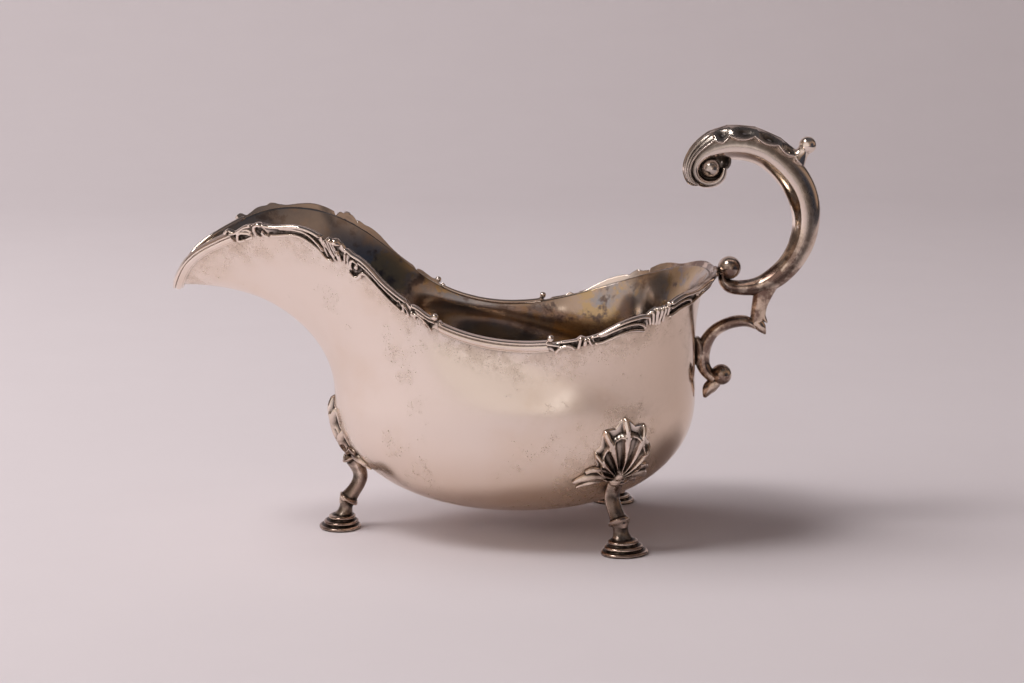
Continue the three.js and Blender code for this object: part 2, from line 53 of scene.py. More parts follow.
# Stations of the edge from the spout's tip to the handle, on the right side:
# (turn of the wall's column, point of the edge, upright rise from the belly, flare at the edge)
EDGE = [
    (0, (-87.9, 0, 69.0), 23, (-21, 0, -0.4)),
    (8, (-84.3, 8.2, 75.8), 23, (-14, 3.0, 6)),
    (16, (-76.2, 12.4, 82.0), 23, (-9, 4, 9)),
    (26, (-64.6, 20.0, 86.6), 22, (-5, 5, 11)),
    (38, (-50.0, 24.6, 85.9), 20, (-3, 4, 11)),
    (53, (-34.3, 29.8, 77.0), 16, (-2, 3, 9)),
    (70, (-17.3, 32.4, 63.9), 11, (-0.8, 1.8, 7)),
    (89, (2.5, 34.2, 58.0), 7, (0, 1.0, 6)),
    (109, (22.5, 37.0, 59.8), 7, (0.3, 1.6, 6)),
    (132, (41.5, 33.2, 65.6), 9, (1.8, 2.0, 7)),
    (156, (54.6, 18.6, 70.6), 11, (4.2, 1.8, 7)),
    (180, (59.0, 0, 71.8), 12, (5.2, 0, 7)),
]

# ---- the border
# Each piece of the border with the stretch of the edge that it covers, from the spout's tip.
CASTINGS = [
    ("front_scroll", 29.2, 40.9),
    ("shoulder_scroll", 40.9, 57.4),
    ("shoulder_shell", 57.4, 65.1),
    ("waist_scroll", 65.1, 86.6),
    ("waist_shell", 86.6, 96.6),
    ("side_wire", 96.6, 124.7),
    ("rear_shell", 124.7, 137.2),
    ("rear_scroll", 137.2, 152.7),
    ("quarter_shell", 152.7, 159.7),
    ("back_scroll", 159.7, 195.0),
]
LIP_END = 29.2
# Raised strokes of the border's scrolls and shells: the radius at each end, how high it stands for its
# width, then its path, which alternates distance along the edge and height above the edge.
STROKES = [
    # front scroll
    (0.45, 0.3, 1.3, 28.6, 1.5, 29.6, 2.1, 30.3, 2.2),
    (0.3, 0.35, 1.4, 29.8, 1.2, 31, 0.8, 32.5, 0.95, 34, 1.35, 35.5, 1.8, 37.6, 1.7),
    (0.28, 0.4, 1.4, 33.4, 0.5, 35, 1, 36.5, 0.6, 37.2, -0.2),
    (0.5, 0.42, 1.5, 36.7, -1, 36, -0.2, 34.9, 0.25, 33.5, 0.55, 32.5, 0.1, 31.8, -0.8, 31.4, -1.6,
     32.2, -2, 33.8, -2),
    (0.35, 0.45, 1.3, 33.8, -2, 35.4, -1.8, 36.8, -1.4),
    (0.52, 0.4, 1.7, 40.9, 1.3, 40.1, 1.95, 39.2, 1.9, 38.5, 1.3, 38.1, 0.3, 38.1, -0.7, 38.5, -1.5,
     39.3, -2),
    (0.55, 0.55, 1.5, 40.3, 0.1, 40.2, -0.7, 40.7, -1.6, 42, -2),
    # shoulder scroll: two rails with a channel between them
    (0.42, 0.5, 1.3, 40.4, 1.7, 42, 1.15, 44, 0.9, 46, 1.1, 48.5, 1.55, 51, 1.95, 53.5, 2.1, 55.5, 2,
     57.6, 1.6),
    (0.3, 0.42, 1.5, 45, 0.45, 48, 0.75, 51, 1, 53, 0.85, 54.4, 0.3, 55.6, -0.7, 56.6, -1.9, 57.1,
     -3.1),
    (0.45, 0.5, 1.5, 41.6, -1.8, 43.5, -1.8, 46, -1.4, 48.5, -0.95, 50.5, -0.85, 52.5, -1.3, 54.5, -2.2,
     55.9, -3.2, 56.6, -4.3, 57.6, -5, 58.7, -4.8, 59.3, -4),
    # shoulder shell
    (0.3, 0.34, 1.6, 58.9, 1.3, 59.2, 0, 59.7, -1.5, 60.2, -3),
    (0.34, 0.34, 1.7, 59.9, 2.4, 60.1, 0.6, 60.5, -1.2, 61, -2.6),
    (0.34, 0.32, 1.7, 60.8, 2.5, 61.1, 0.8, 61.5, -0.8, 61.9, -2),
    (0.3, 0.3, 1.7, 61.6, 2.5, 62, 0.6, 62.3, -0.8),
    (0.3, 0.62, 1.4, 60, -2.2, 60.7, -3.1, 61.3, -3.7),
    (0.8, 0.62, 1.5, 63, 0.5, 62.9, -1, 62.8, -2.9),
    (0.55, 0.95, 1.5, 62.5, 1.7, 62.6, 2.7, 63.4, 3.3, 64.3, 2.8),
    (0.32, 0.24, 1.6, 65.6, 1.3, 65.1, 0.1, 64.5, -1.7, 64.1, -3),
    # waist scroll
    (0.55, 0.4, 1.4, 64.9, -4.2, 65.6, -5, 66.6, -5.2, 67.7, -4.5, 68.8, -3.4, 69.9, -2),
    (0.45, 0.32, 1.6, 66.6, -3.1, 66.4, -2.2, 66.7, -1, 67.4, 0.2, 68.5, 0.85, 69.6, 0.6),
    (0.6, 0.4, 1.5, 68.4, -1.6, 68.8, -0.6, 69.6, 0.3),
    (0.45, 0.45, 1.4, 65.9, 1.4, 66.3, 2.7, 68, 2.55, 70, 2.85, 72, 3, 74, 2.65, 76, 1.95, 78, 1.4, 80,
     1.2, 83, 1.15, 86.2, 1.3),
    (0.32, 0.36, 1.5, 69.6, 1.4, 72, 1.35, 74, 1.05, 76, 0.5, 78, -0.1, 80.5, -0.45, 83.2, -0.6),
    (0.4, 0.5, 1.5, 69.9, -2, 71, -1.05, 72.5, -0.8, 74, -1.2, 76, -1.85, 78, -2.5, 80, -2.95, 82,
     -3.1, 83.6, -3.2),
    (0.42, 0.42, 1.6, 82.3, -1.7, 82.7, -2.2),
    (0.4, 0.42, 1.5, 83.2, 0.1, 84.2, -0.6, 84.5, -1.6, 84.1, -2.6, 83.4, -3.2),
    (0.48, 0.5, 1.5, 84.6, 0.1, 85.6, -0.8, 86, -1.9, 85.5, -2.9, 84.3, -3.5),
    # waist shell
    (0.35, 0.62, 1.5, 88, -0.4, 87.4, -1.3, 87, -2.3),
    (0.4, 0.4, 1.4, 87.6, 1, 89, 1.6, 91, 1.5, 93, 1.3, 94.2, 1.5),
    (0.3, 0.3, 1.4, 88.6, 0.6, 91, 0.35, 93, 0.2, 94.8, 0.5),
    (0.42, 0.36, 1.6, 88, -2.7, 88.2, -1.3, 89, -0.5, 90.1, -0.3, 91.3, -0.7, 92.3, -1.4, 92.9, -2.4,
     92.8, -3),
    (0.34, 0.34, 1.5, 90.6, -1.3, 91.4, -2, 91.8, -2.8),
    (0.45, 0.34, 1.4, 96.2, 1.7, 96.6, 0.8, 96.9, 0.2),
    # rear shell
    (0.36, 0.34, 1.5, 125.3, 1.2, 125.1, 0.6, 126, 0.2, 127.5, -0.2, 128.8, -0.6),
    (0.45, 0.45, 1.6, 127.1, -2.6, 127.9, -1.6, 129, -0.95, 130.2, -0.75, 131.4, -1.05, 132.2, -1.8,
     132.4, -2.5),
    (0.3, 0.3, 1.3, 128.5, 0.5, 131, 0.45, 133.4, 0.4),
    (0.55, 0.42, 1.6, 134, 1.2, 133.9, 0.1, 133.6, -1.3, 133.1, -2.4),
    (0.45, 0.6, 1.4, 135.4, 0.4, 135.2, -0.9, 135.1, -2.1),
    (0.4, 0.45, 1.4, 136.2, 0.2, 136.7, -1.2, 137.4, -2.3),
    # rear scroll
    (0.36, 0.48, 1.4, 136.6, 0.4, 139, 0.45, 141, 0.95, 143, 1.5, 145, 1.9, 147, 2.05, 149, 1.95, 151,
     1.6, 152.6, 0.8),
    (0.3, 0.38, 1.5, 139, -0.1, 141, 0.1, 143, 0.5, 145, 0.7, 147, 0.7, 149, 0.3, 150.5, -0.5, 151.6,
     -1.5, 152.3, -2.4),
    (0.42, 0.46, 1.5, 137.6, -1.4, 139, -1.85, 141, -1.75, 143, -1.45, 145, -1.2, 147, -1.2, 149, -1.6,
     150.6, -2.3, 152, -2.9),
    # quarter shell
    (0.36, 0.34, 1.6, 152.2, 1.4, 152.9, 0, 153.4, -2),
    (0.4, 0.36, 1.6, 153.3, 2.2, 153.9, 0.3, 154.4, -2.4),
    (0.55, 0.45, 1.6, 154.8, 2.6, 154.9, 0.8, 155.2, -1.2, 155.2, -2.8),
    (0.5, 0.55, 1.6, 156.2, 2.1, 156.2, 0, 156, -1.6, 156.2, -3),
    (0.42, 0.45, 1.5, 157.5, 1.9, 157.6, 0.2, 157.5, -1.6, 157.9, -2.9),
    (0.36, 0.36, 1.5, 158.8, 1.7, 158.9, 0.2, 159.2, -1.6),
    # back scroll: a long leafy scroll that meets its mirror image behind the handle
    (0.42, 0.5, 1.4, 159.4, 1.8, 162, 2.4, 165, 2.4, 168, 1.8, 172, 1.3, 176, 1.5, 180, 2, 184, 2.1,
     188, 1.7, 195.4, 1.5),
    (0.34, 0.4, 1.5, 160, 0.3, 163, 0.9, 166, 0.6, 168.5, -0.5, 169.8, -1.8),
    (0.46, 0.46, 1.5, 159.8, -2.2, 162, -1.9, 165, -1.6, 168, -2, 171, -2.1, 175, -1.6, 180, -1.4, 185,
     -1.8, 190, -1.9, 195.4, -1.8),
    (0.44, 0.36, 1.6, 172.6, -0.6, 171.6, 0.2, 172.4, 0.9, 175, 0.3, 179, 0.3, 183, 0.6, 186, 0, 187.4,
     -1.2),
    (0.55, 0.4, 1.5, 190.4, 0.9, 190, 0, 191, -0.8, 193, -0.6, 195.4, -0.4),
    (0.6, 0.55, 1.5, 195.6, 1.9, 193.4, 1.5, 192.4, 0.6),
]
# One bead on each of two shells: (distance along the edge, height, radius).
BEADS = {"waist_shell": (94.9, 2.0, 0.95), "rear_shell": (126.1, 1.7, 0.95)}


# ---- curves
def power(base, exponent):
    return np.sign(base) * np.abs(base) ** exponent


def ramp(value, start, length):
    return np.clip((value - start) / length, 0, 1)


def closed_spline(rows):
    """Smooth closed curve through rows, one row for each whole step of t."""
    rows = np.array(rows, float)
    count = len(rows)
    shares = ((0, 4 / 6), (1, 1 / 6), (-1, 1 / 6))
    weights = sum(np.roll(np.eye(count), k, axis=1) * share for k, share in shares)
    control = np.linalg.solve(weights, rows)

    def at(t):
        i = np.floor(t).astype(int)
        f = (t - i)[..., None]
        blend = [(1 - f) ** 3, 3 * f**3 - 6 * f**2 + 4, -3 * f**3 + 3 * f**2 + 3 * f + 1, f**3]
        return sum(b / 6 * control[(i + j - 1) % count] for j, b in enumerate(blend))

    return at


def open_curve(rows, count):
    """Natural cubic spline through rows, read at even distances along its first two columns."""
    rows = np.array(rows, float)
    if len(rows) == 2:
        return rows[0] + np.linspace(0, 1, count)[:, None] * (rows[1] - rows[0])
    knots = np.r_[0, np.cumsum(np.linalg.norm(np.diff(rows[:, :2], axis=0), axis=1) + 1e-9)]
    gap = np.diff(knots)
    n = len(rows)
    system = np.eye(n)
    right = np.zeros_like(rows)
    slope = np.diff(rows, axis=0) / gap[:, None]
    for i in range(1, n - 1):
        system[i, i - 1 : i + 2] = gap[i - 1], 2 * (gap[i - 1] + gap[i]), gap[i]
        right[i] = 6 * (slope[i] - slope[i - 1])
    bend = np.linalg.solve(system, right)

    def read(s):
        i = np.clip(np.searchsorted(knots, s, side="right") - 1, 0, n - 2)
        a = ((knots[i + 1] - s) / gap[i])[:, None]
        b = 1 - a
        h = (gap[i] ** 2)[:, None]
        return a * rows[i] + b * rows[i + 1] + ((a**3 - a) * bend[i] + (b**3 - b) * bend[i + 1]) * h / 6

    fine = read(np.linspace(0, knots[-1], 8 * count))
    miles = np.r_[0, np.cumsum(np.linalg.norm(np.diff(fine[:, :2], axis=0), axis=1))]
    even = np.interp(np.linspace(0, miles[-1], count), miles, np.linspace(0, knots[-1], 8 * count))
    return read(even)


# ---- the bowl's surface
def mirrored(station):
    turn, (x, y, z), rise, (fx, fy, fz) = station
    return 360 - turn, (x, -y, z), rise, (fx, -fy, fz)


WHOLE_EDGE = EDGE + [mirrored(s) for s in EDGE[-2:0:-1]]
STATIONS = len(WHOLE_EDGE)
edge_spline = closed_spline(
    [[turn - 360 * i / STATIONS, *at, rise, *flare] for i, (turn, at, rise, flare) in enumerate(WHOLE_EDGE)]
)


def belly_point(turn):
    ahead = np.cos(turn)
    reach = np.where(ahead > 0, BELLY["front"] - BELLY["widest"], BELLY["widest"] - BELLY["back"])
    exponent = 2 / np.where(ahead > 0, PLAN_POWER["front"], PLAN_POWER["back"])
    x = BELLY["widest"] + reach * power(ahead, exponent)
    y = BELLY["half"] * power(np.sin(turn), exponent)
    return np.stack([x, y, np.full_like(x, BELLY["z"])], -1)


def bowl_point(t, v):
    """Outer surface. t counts stations round the edge. v is 0 at the bottom, 1 at the belly, 2 on top."""
    t, v = np.broadcast_arrays(np.asarray(t, float), np.asarray(v, float))
    row = edge_spline(t)
    belly = belly_point(np.radians(row[..., 0] + 360 * t / STATIONS))
    at, rise, flare = row[..., 1:4], row[..., 4:5], row[..., 5:8]
    lift = np.radians(90 * np.clip(v, 0, 1))
    out = power(np.sin(lift), 2 / DEPTH_POWER)
    down = power(np.cos(lift), 2 / DEPTH_POWER)
    x = BOWL_BOTTOM["x"] + (belly[..., 0] - BOWL_BOTTOM["x"]) * out
    z = BELLY["z"] - (BELLY["z"] - BOWL_BOTTOM["z"]) * down
    under = np.stack([x, belly[..., 1] * out, z], -1)
    u = np.clip(v - 1, 0, 1)[..., None]
    upright = belly + rise * np.array([0, 0, 1])
    w = 1 - u
    column = w**3 * belly + 3 * w**2 * u * upright + 3 * w * u**2 * (at - flare) + u**3 * at
    return np.where((v <= 1)[..., None], under, column)


def bowl_normal(t, v, step=2e-3):
    top = np.minimum(v + step, 2)
    along = bowl_point(t + step, v) - bowl_point(t - step, v)
    up = bowl_point(t, top) - bowl_point(t, top - 2 * step)
    normal = np.cross(up, along)
    return normal / np.linalg.norm(normal, axis=-1)[..., None]


edge_t = np.linspace(0, STATIONS / 2, 3001)
edge_points = bowl_point(edge_t, 2.0)
edge_miles = np.r_[0, np.cumsum(np.linalg.norm(np.diff(edge_points, axis=0), axis=1))]


def border_place(distance, height, outward):
    """Point on the border: along the edge, up from it (down follows the wall), and out from the wall."""
    side = np.where(distance < 0, -1.0, 1.0)
    past = np.maximum(np.abs(distance) - edge_miles[-1], 0)
    t = np.interp(np.abs(distance), edge_miles, edge_t) + past * 0.055
    speed = np.linalg.norm(bowl_point(t, 2.0) - bowl_point(t, 1.9), axis=-1) / 0.1
    v = 2 + np.minimum(height, 0) / speed
    normal = bowl_normal(t, v)
    rim = bowl_point(t, 2.0)
    up = rim - bowl_point(t, 1.985)
    up /= np.linalg.norm(up, axis=-1)[..., None]
    point = bowl_point(t, v) + normal * outward[..., None] + up * np.maximum(height, 0)[..., None]
    point[..., 1] *= side
    return point


# ---- bodies
class Body:
    """Closed skin: points in millimetres, faces of four corners (a triangle repeats its last one), and
    how much grime and painted shade lie at each point."""

    def __init__(self, points, faces, grime_and_painted_shade=None):
        a, b, c, d = ((points - points.mean(0))[faces[:, k]] for k in range(4))
        volume = (a * np.cross(b, c)).sum() + (a * np.cross(c, d)).sum()
        self.points = points
        self.faces = faces if volume > 0 else faces[:, [1, 0, 3, 2]]
        self.grime_and_painted_shade = np.zeros(len(points)) if grime_and_painted_shade is None else grime_and_painted_shade


def loft(rings, grime_and_painted_shade=None):
    """Closed body through rings of equal length, with a fan over each end."""
    rings = np.asarray(rings)
    count, sides = rings.shape[:2]
    here = np.arange(sides)
    after = (here + 1) % sides
    starts = sides * np.arange(count - 1)[:, None]
    a = (starts + here).ravel()
    b = (starts + after).ravel()
    last = sides * (count - 1)
    hub = np.full(sides, count * sides)
    walls = np.stack([a, b, b + sides, a + sides], -1)
    first_fan = np.stack([after, here, hub, hub], -1)
    last_fan = np.stack([last + here, last + after, hub + 1, hub + 1], -1)
    if grime_and_painted_shade is not None:
        grime_and_painted_shade = np.r_[np.ravel(grime_and_painted_shade), 0, 0]
    points = np.concatenate([rings.reshape(-1, 3), rings[[0, -1]].mean(1)])
    return Body(points, np.concatenate([walls, first_fan, last_fan]), grime_and_painted_shade)


def mesh_of(name, bodies, scale=1.0):
    starts = np.cumsum([0] + [len(body.points) for body in bodies[:-1]])
    points = scale * np.concatenate([body.points for body in bodies])
    faces = np.concatenate([body.faces + start for body, start in zip(bodies, starts)])
    corner_count = np.where(faces[:, 2] == faces[:, 3], 3, 4)
    used = np.arange(4) < corner_count[:, None]
    mesh = bpy.data.meshes.new(name)
    mesh.vertices.add(len(points))
    mesh.vertices.foreach_set("co", points.ravel())
    mesh.loops.add(int(used.sum()))
    mesh.loops.foreach_set("vertex_index", faces[used].astype(np.int32))
    mesh.polygons.add(len(faces))
    mesh.polygons.foreach_set("loop_start", (np.cumsum(corner_count) - corner_count).astype(np.int32))
    mesh.update(calc_edges=True)
    return mesh


def make_piece(name, bodies, material, node, fields=None):
    """One visual piece, which rides on the root and stands for its node. Its material reads the fields."""
    mesh = mesh_of(name, bodies, MM)
    mesh.polygons.foreach_set("use_smooth", [True] * len(mesh.polygons))
    fields = fields or {"grime_and_painted_shade": np.concatenate([body.grime_and_painted_shade for body in bodies])}
    for field, values in fields.items():
        mesh.attributes.new(field, "FLOAT", "POINT").data.foreach_set("value", values)
    mesh.materials.append(material)
    mesh.update()
    piece = bpy.data.objects.new(name, mesh)
    bpy.context.scene.collection.objects.link(piece)
    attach(piece, "root")
    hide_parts(node)


def mirror(bodies):
    return [Body(body.points * [1, -1, 1], body.faces, body.grime_and_painted_shade) for body in bodies]


HOLLOW_ROUNDS = 55  # of softening, for the skin that hollows are measured from
SMOOTHING = (0.6, -0.55, 0.6, -0.55)  # steps of a smoothing that keeps the volume


def neighbour_mean(points, ends):
    total = [np.bincount(ends[:, 0], points[ends[:, 1], axis], len(points)) for axis in range(3)]
    return np.stack(total, -1) / np.bincount(ends[:, 0], minlength=len(points))[:, None]


def hollows(points, faces, ends, full_depth):
    """How far each point lies below the softened skin, as a share of full_depth: below 0 on a crest."""
    corner = points[faces]
    across = np.cross(corner[:, 2] - corner[:, 0], corner[:, 3] - corner[:, 1])
    normal = np.zeros_like(points)
    for k in range(4):
        for axis in range(3):
            normal[:, axis] += np.bincount(faces[:, k], across[:, axis], len(points))
    normal /= np.linalg.norm(normal, axis=1)[:, None] + 1e-12
    soft = points
    for _ in range(HOLLOW_ROUNDS):
        soft = neighbour_mean(soft, ends)
    return ((soft - points) * normal).sum(1) / full_depth


def read_all(collection, field, width, kind):
    values = np.empty(width * len(collection), kind)
    collection.foreach_get(field, values)
    return values.reshape(-1, width)


def fused(bodies, voxel, full_depth, tarnish):
    """Bodies melted into one skin, as a casting comes out of its mould. Grime fills its hollows, lies as
    thick as tarnish on its flats, and is rubbed off its crests."""
    blank = bpy.data.objects.new("casting_blank", mesh_of("casting_blank", bodies))
    bpy.context.scene.collection.objects.link(blank)
    remesh = blank.modifiers.new("remesh", "REMESH")
    remesh.mode = "VOXEL"
    remesh.voxel_size = voxel
    bpy.context.view_layer.update()
    done = bpy.data.meshes.new_from_object(blank.evaluated_get(bpy.context.evaluated_depsgraph_get()))
    skin = read_all(done.vertices, "co", 3, float)
    faces = read_all(done.loops, "vertex_index", 1, np.int32).reshape(-1, 4)
    edges = read_all(done.edges, "vertices", 2, np.int32)
    ends = np.concatenate([edges, edges[:, ::-1]])
    for strength in SMOOTHING:
        skin = skin + strength * (neighbour_mean(skin, ends) - skin)
    blank_mesh = blank.data
    bpy.data.objects.remove(blank)
    bpy.data.meshes.remove(blank_mesh)
    bpy.data.meshes.remove(done)
    body = Body(skin, faces)
    body.grime_and_painted_shade = np.clip(tarnish + hollows(skin, body.faces, ends, full_depth), 0, 1)
    return body


def ball(centre, radii, sides=24, grime_and_painted_shade=0.0):
    """Egg-shaped body as a loft of rings up its own axis."""
    around = np.linspace(0, 2 * math.pi, sides, endpoint=False)
    rings = []
    for lift in np.radians(np.linspace(-84, 84, sides // 2)):
        flat = np.cos(lift)
        ring = np.stack([flat * np.cos(around), flat * np.sin(around), np.full(sides, np.sin(lift))], -1)
        rings.append(ring * radii + centre)
    return loft(rings, np.full((len(rings), sides), grime_and_painted_shade))


# ---- the bowl
# The middle of each foot's pad, the way that it faces, and the station of the edge above it.
FEET = [
    {"name": "front", "base": (-43.8, 0), "outward": 180, "station": 0},
    {"name": "left", "base": (34.1, -30), "outward": -56, "station": 13.5},
    {"name": "right", "base": (34.1, 30), "outward": 56, "station": 8.5},
]
SHELL = {"root": 21.8, "top": 17.6, "side": 4.6, "sweep": 88, "ribs": 9, "tilt": 4.8}


def wall_start(station):
    levels = np.linspace(0.4, 1, 400)
    return np.interp(SHELL["root"], bowl_point(float(station), levels)[:, 2], levels)


def on_wall(station, sideways, climb, outward):
    """Points near a foot, sideways and up along the wall from the root of its shell, and off the wall."""
    root = wall_start(station)
    levels = np.linspace(root - 0.35, min(root + 1.2, 2.0), 200)
    line = bowl_point(float(station), levels)
    miles = np.r_[0, np.cumsum(np.linalg.norm(np.diff(line, axis=0), axis=1))]
    v = np.interp(climb, miles - np.interp(root, levels, miles), levels)
    near = 0.05
    run = np.linalg.norm(bowl_point(station + near, v) - bowl_point(station - near, v), axis=-1)
    t = station + sideways * 2 * near / run
    return bowl_point(t, v) + bowl_normal(t, v) * np.asarray(outward)[..., None]


BOWL_COLUMNS = 440
BOWL_ROWS = 110


RIM_STAIN = {"full": 3.0, "gone": 12.0}  # how far below the edge the polish never reached
# (sideways, up the wall, radius within which it is full, radius at which it is gone)
FOOT_STAINS = [(0, 7.5, 8.0, 14.5), (-9.0, -1.0, 2.5, 9.5), (9.0, -1.0, 2.5, 9.5)]


def bowl_body():
    """The bowl, with where it is inside and where stains lie round what is soldered to it."""
    t = np.linspace(0, STATIONS, BOWL_COLUMNS, endpoint=False)
    levels = 2 * np.linspace(0.012, 1, BOWL_ROWS) ** 0.8
    outer = np.array([bowl_point(t, level) for level in levels])
    inner = [bowl_point(t, level) - WALL * bowl_normal(t, level) for level in levels[::-1]]
    body = loft([*outer, *inner])
    inside = np.zeros(len(body.points))
    inside[BOWL_ROWS * BOWL_COLUMNS : -2] = 1
    inside[-1] = 1
    below_edge = np.linalg.norm(outer - outer[-1], axis=-1)
    stain = 1 - ramp(below_edge, RIM_STAIN["full"], RIM_STAIN["gone"] - RIM_STAIN["full"])
    for foot in FEET:
        for sideways, climb, full, gone in FOOT_STAINS:
            middle = on_wall(foot["station"], np.array([sideways]), np.array([climb]), np.zeros(1))
            far = np.linalg.norm(outer - middle, axis=-1)
            stain = np.maximum(stain, 1 - ramp(far, full, gone - full))
    stained = np.zeros(len(body.points))
    stained[: stain.size] = stain.ravel()
    return body, {"inside": inside, "stain": stained}


# ---- border castings
PLATE = 0.65  # how far the face of a casting's plate stands off the wall
PLATE_BACK = -0.35  # its back is sunk into the wall
PLATE_TOP = 0.35
PLATE_BOTTOM = -1.6
PLATE_ROWS = 14
BORDER_VOXEL = 0.13
# (depth of a hollow that is full of grime, how thick grime lies on the flats)
BORDER_GRIME = (0.085, 0.16)
BOLDNESS = 1.12  # widens every stroke


def stroke_body(start_radius, end_radius, stands, path):
    """Raised stroke of the border: a half-round bar along a path on the border."""
    total = np.linalg.norm(np.diff(path, axis=0), axis=1).sum()
    count = max(6, int(total / 0.28))
    centre = open_curve(path, count)
    ahead = np.gradient(centre, axis=0)
    ahead /= np.linalg.norm(ahead, axis=1)[:, None]
    share = np.linspace(0, 1, count)
    radius = BOLDNESS * (start_radius + (end_radius - start_radius) * share)
    radius = radius * np.sqrt(np.clip(np.minimum(share, 1 - share) * total / radius, 0.05, 1))
    around = np.linspace(0, 2 * math.pi, 12, endpoint=False)
    rings = []
    for at, direction, r in zip(centre, ahead, radius):
        across = np.array([-direction[1], direction[0]])
        flat = at + np.cos(around)[:, None] * across * r
        outward = PLATE + 0.15 + np.sin(around) * r * stands
        rings.append(border_place(flat[:, 0], flat[:, 1], outward))
    return loft(rings)


def strokes_on(start, end):
    """Strokes whose middle lies on this stretch of the edge, each with its path as (distance, height)."""
    found = []
    for start_radius, end_radius, stands, *places in STROKES:
        path = np.reshape(places, (-1, 2))
        if start <= path[:, 0].mean() < end:
            found.append((start_radius, end_radius, stands, path))
    return found


def plate_body(start, end, strokes):
    """Plate behind the strokes: its outline follows the outermost of them."""
    count = int((end - start) / 0.3) + 2
    s = np.linspace(start - 0.5, end + 0.5, count)
    top = np.full(count, PLATE_TOP)
    bottom = np.full(count, PLATE_BOTTOM)
    for start_radius, end_radius, _, path in strokes:
        reach = max(start_radius, end_radius)
        for at, height in open_curve(path, 60):
            near = np.abs(s - at) < reach * 1.1
            top[near] = np.maximum(top[near], height)
            bottom[near] = np.minimum(bottom[near], height)
    soften = np.array([1, 2, 3, 2, 1]) / 9
    top = np.convolve(np.pad(top, 2, mode="edge"), soften, mode="valid")
    bottom = np.convolve(np.pad(bottom, 2, mode="edge"), soften, mode="valid")
    thick = np.full(PLATE_ROWS, PLATE)
    thick[[0, -1]] -= 0.25
    rings = []
    for at, low, high in zip(s, bottom, top):
        back = np.linspace(high, low, PLATE_ROWS)
        sunk = np.where(back > 0.1, -0.45, PLATE_BACK)
        heights = np.r_[back[::-1], back]
        rings.append(border_place(np.full(2 * PLATE_ROWS, at), heights, np.r_[thick, sunk]))
    return loft(rings)


def casting(name, start, end):
    strokes = strokes_on(start, end)
    bodies = [plate_body(start, end, strokes)]
    bodies += [stroke_body(*stroke) for stroke in strokes]
    if name in BEADS:
        at, height, radius = BEADS[name]
        centre = border_place(np.array([at]), np.array([height]), np.array([PLATE * 0.7]))[0]
        bodies.append(ball(centre, np.full(3, radius), 20))
    return fused(bodies, BORDER_VOXEL, *BORDER_GRIME)


REEDS = [(0.62, 0.36, 1.35), (-0.62, 0.92, 0.8), (-1.66, 0.26, 1.3)]  # (height, radius, how high it stands)
REED_FACE = 0.75
WIRE_LOW = -1.95
WIRE_HIGH = 1.0
WIRE_STEP = 0.5


def reeded_wire(start, end):
    """Applied wire with three reeds, wrapped over the edge of the sheet."""
    heights = np.linspace(WIRE_LOW, WIRE_HIGH, 46)
    bulge = np.zeros_like(heights)
    for height, radius, stands in REEDS:
        bulge = np.maximum(bulge, stands * np.sqrt(np.clip(radius**2 - (heights - height) ** 2, 0, None)))
    outward = REED_FACE + bulge
    outward[0] = outward[-1] = 0.3
    over = np.radians(np.linspace(80, 180, 8))
    lip_outward = -0.35 + 0.72 * np.cos(over)
    grime_and_painted_shade = np.zeros(len(heights) + len(over) + 3)
    grime_and_painted_shade[1 : len(heights) - 1] = np.clip(1 - bulge[1:-1] / 0.18, 0, 1)
    heights = np.r_[heights, 0.35 + 0.68 * np.sin(over), -0.3, -0.3, WIRE_LOW + 0.1]
    outward = np.r_[outward, lip_outward, lip_outward[-1], 0.0, -0.2]
    places = np.linspace(start, end, int((end - start) / WIRE_STEP))
    rings = [border_place(np.full(len(heights), at), heights, outward) for at in places]
    return loft(rings, np.tile(grime_and_painted_shade, (len(rings), 1)))


# ---- handle
# Rows of [x, z, half thickness in the handle's plane, half width across it].
HANDLE_SCROLL = [
    [62.3, 71.8, 0.9, 1.6], [62.5, 70.0, 1.3, 2.2], [64.0, 68.3, 1.8, 2.4], [67.5, 67.6, 2.1, 2.4],
    [72.0, 68.0, 2.5, 2.5], [77.2, 70.6, 3.0, 2.9], [81.2, 74.6, 3.2, 3.1], [84.0, 79.8, 3.5, 3.3],
    [85.2, 85.6, 3.75, 3.5], [84.8, 90.9, 4.1, 3.7], [82.4, 96.8, 4.3, 3.8], [78.1, 102.0, 4.3, 3.9],
    [72.7, 105.7, 4.2, 4.0], [67.0, 107.2, 4.3, 4.0], [61.6, 106.9, 4.0, 4.0], [57.3, 105.2, 3.0, 3.9],
    [54.9, 102.8, 2.2, 3.8], [54.3, 99.7, 1.9, 3.7], [56.0, 97.4, 1.7, 3.6], [58.9, 96.8, 1.5, 3.5],
    [61.6, 98.4, 1.3, 3.4], [62.3, 101.0, 1.0, 3.2],
]
VOLUTE_BUTTON = {"at": (58.6, 100.9), "radius": 3.0, "half": 4.7}
ROOT_BUTTON = {"at": (64.3, 73.2), "radius": 3.2, "half": 3.6}
VOLUTE_WEB = [  # discs that fill the volute behind its button, painted fully dark as painted shade in its recess
    {"at": (58.2, 101.2), "radius": 4.7, "half": 2.1},
    {"at": (61.6, 102.6), "radius": 2.8, "half": 2.1},
]
PAINTED_REFLECTION_BAND = {"middle": 0.25, "width": 0.3, "strength": 0.75}  # painted dark reflection along each side, as shares of the section
LEAF = {"thickness": 1.0, "spread": 78}
THUMB_BEAD = {"at": (85.2, 107.0), "radius": 2.4, "stalk": (82.2, 102.6), "neck": 1.9}
BEAD_VOXEL = 0.14
BEAD_GRIME = (0.12, 0.12)
BRACKET = [
    [73.6, 67.5, 2.6, 2.2], [73.0, 64.0, 2.2, 2.0], [72.5, 60.6, 2.1, 1.8], [72.0, 57.0, 1.7, 1.6],
]
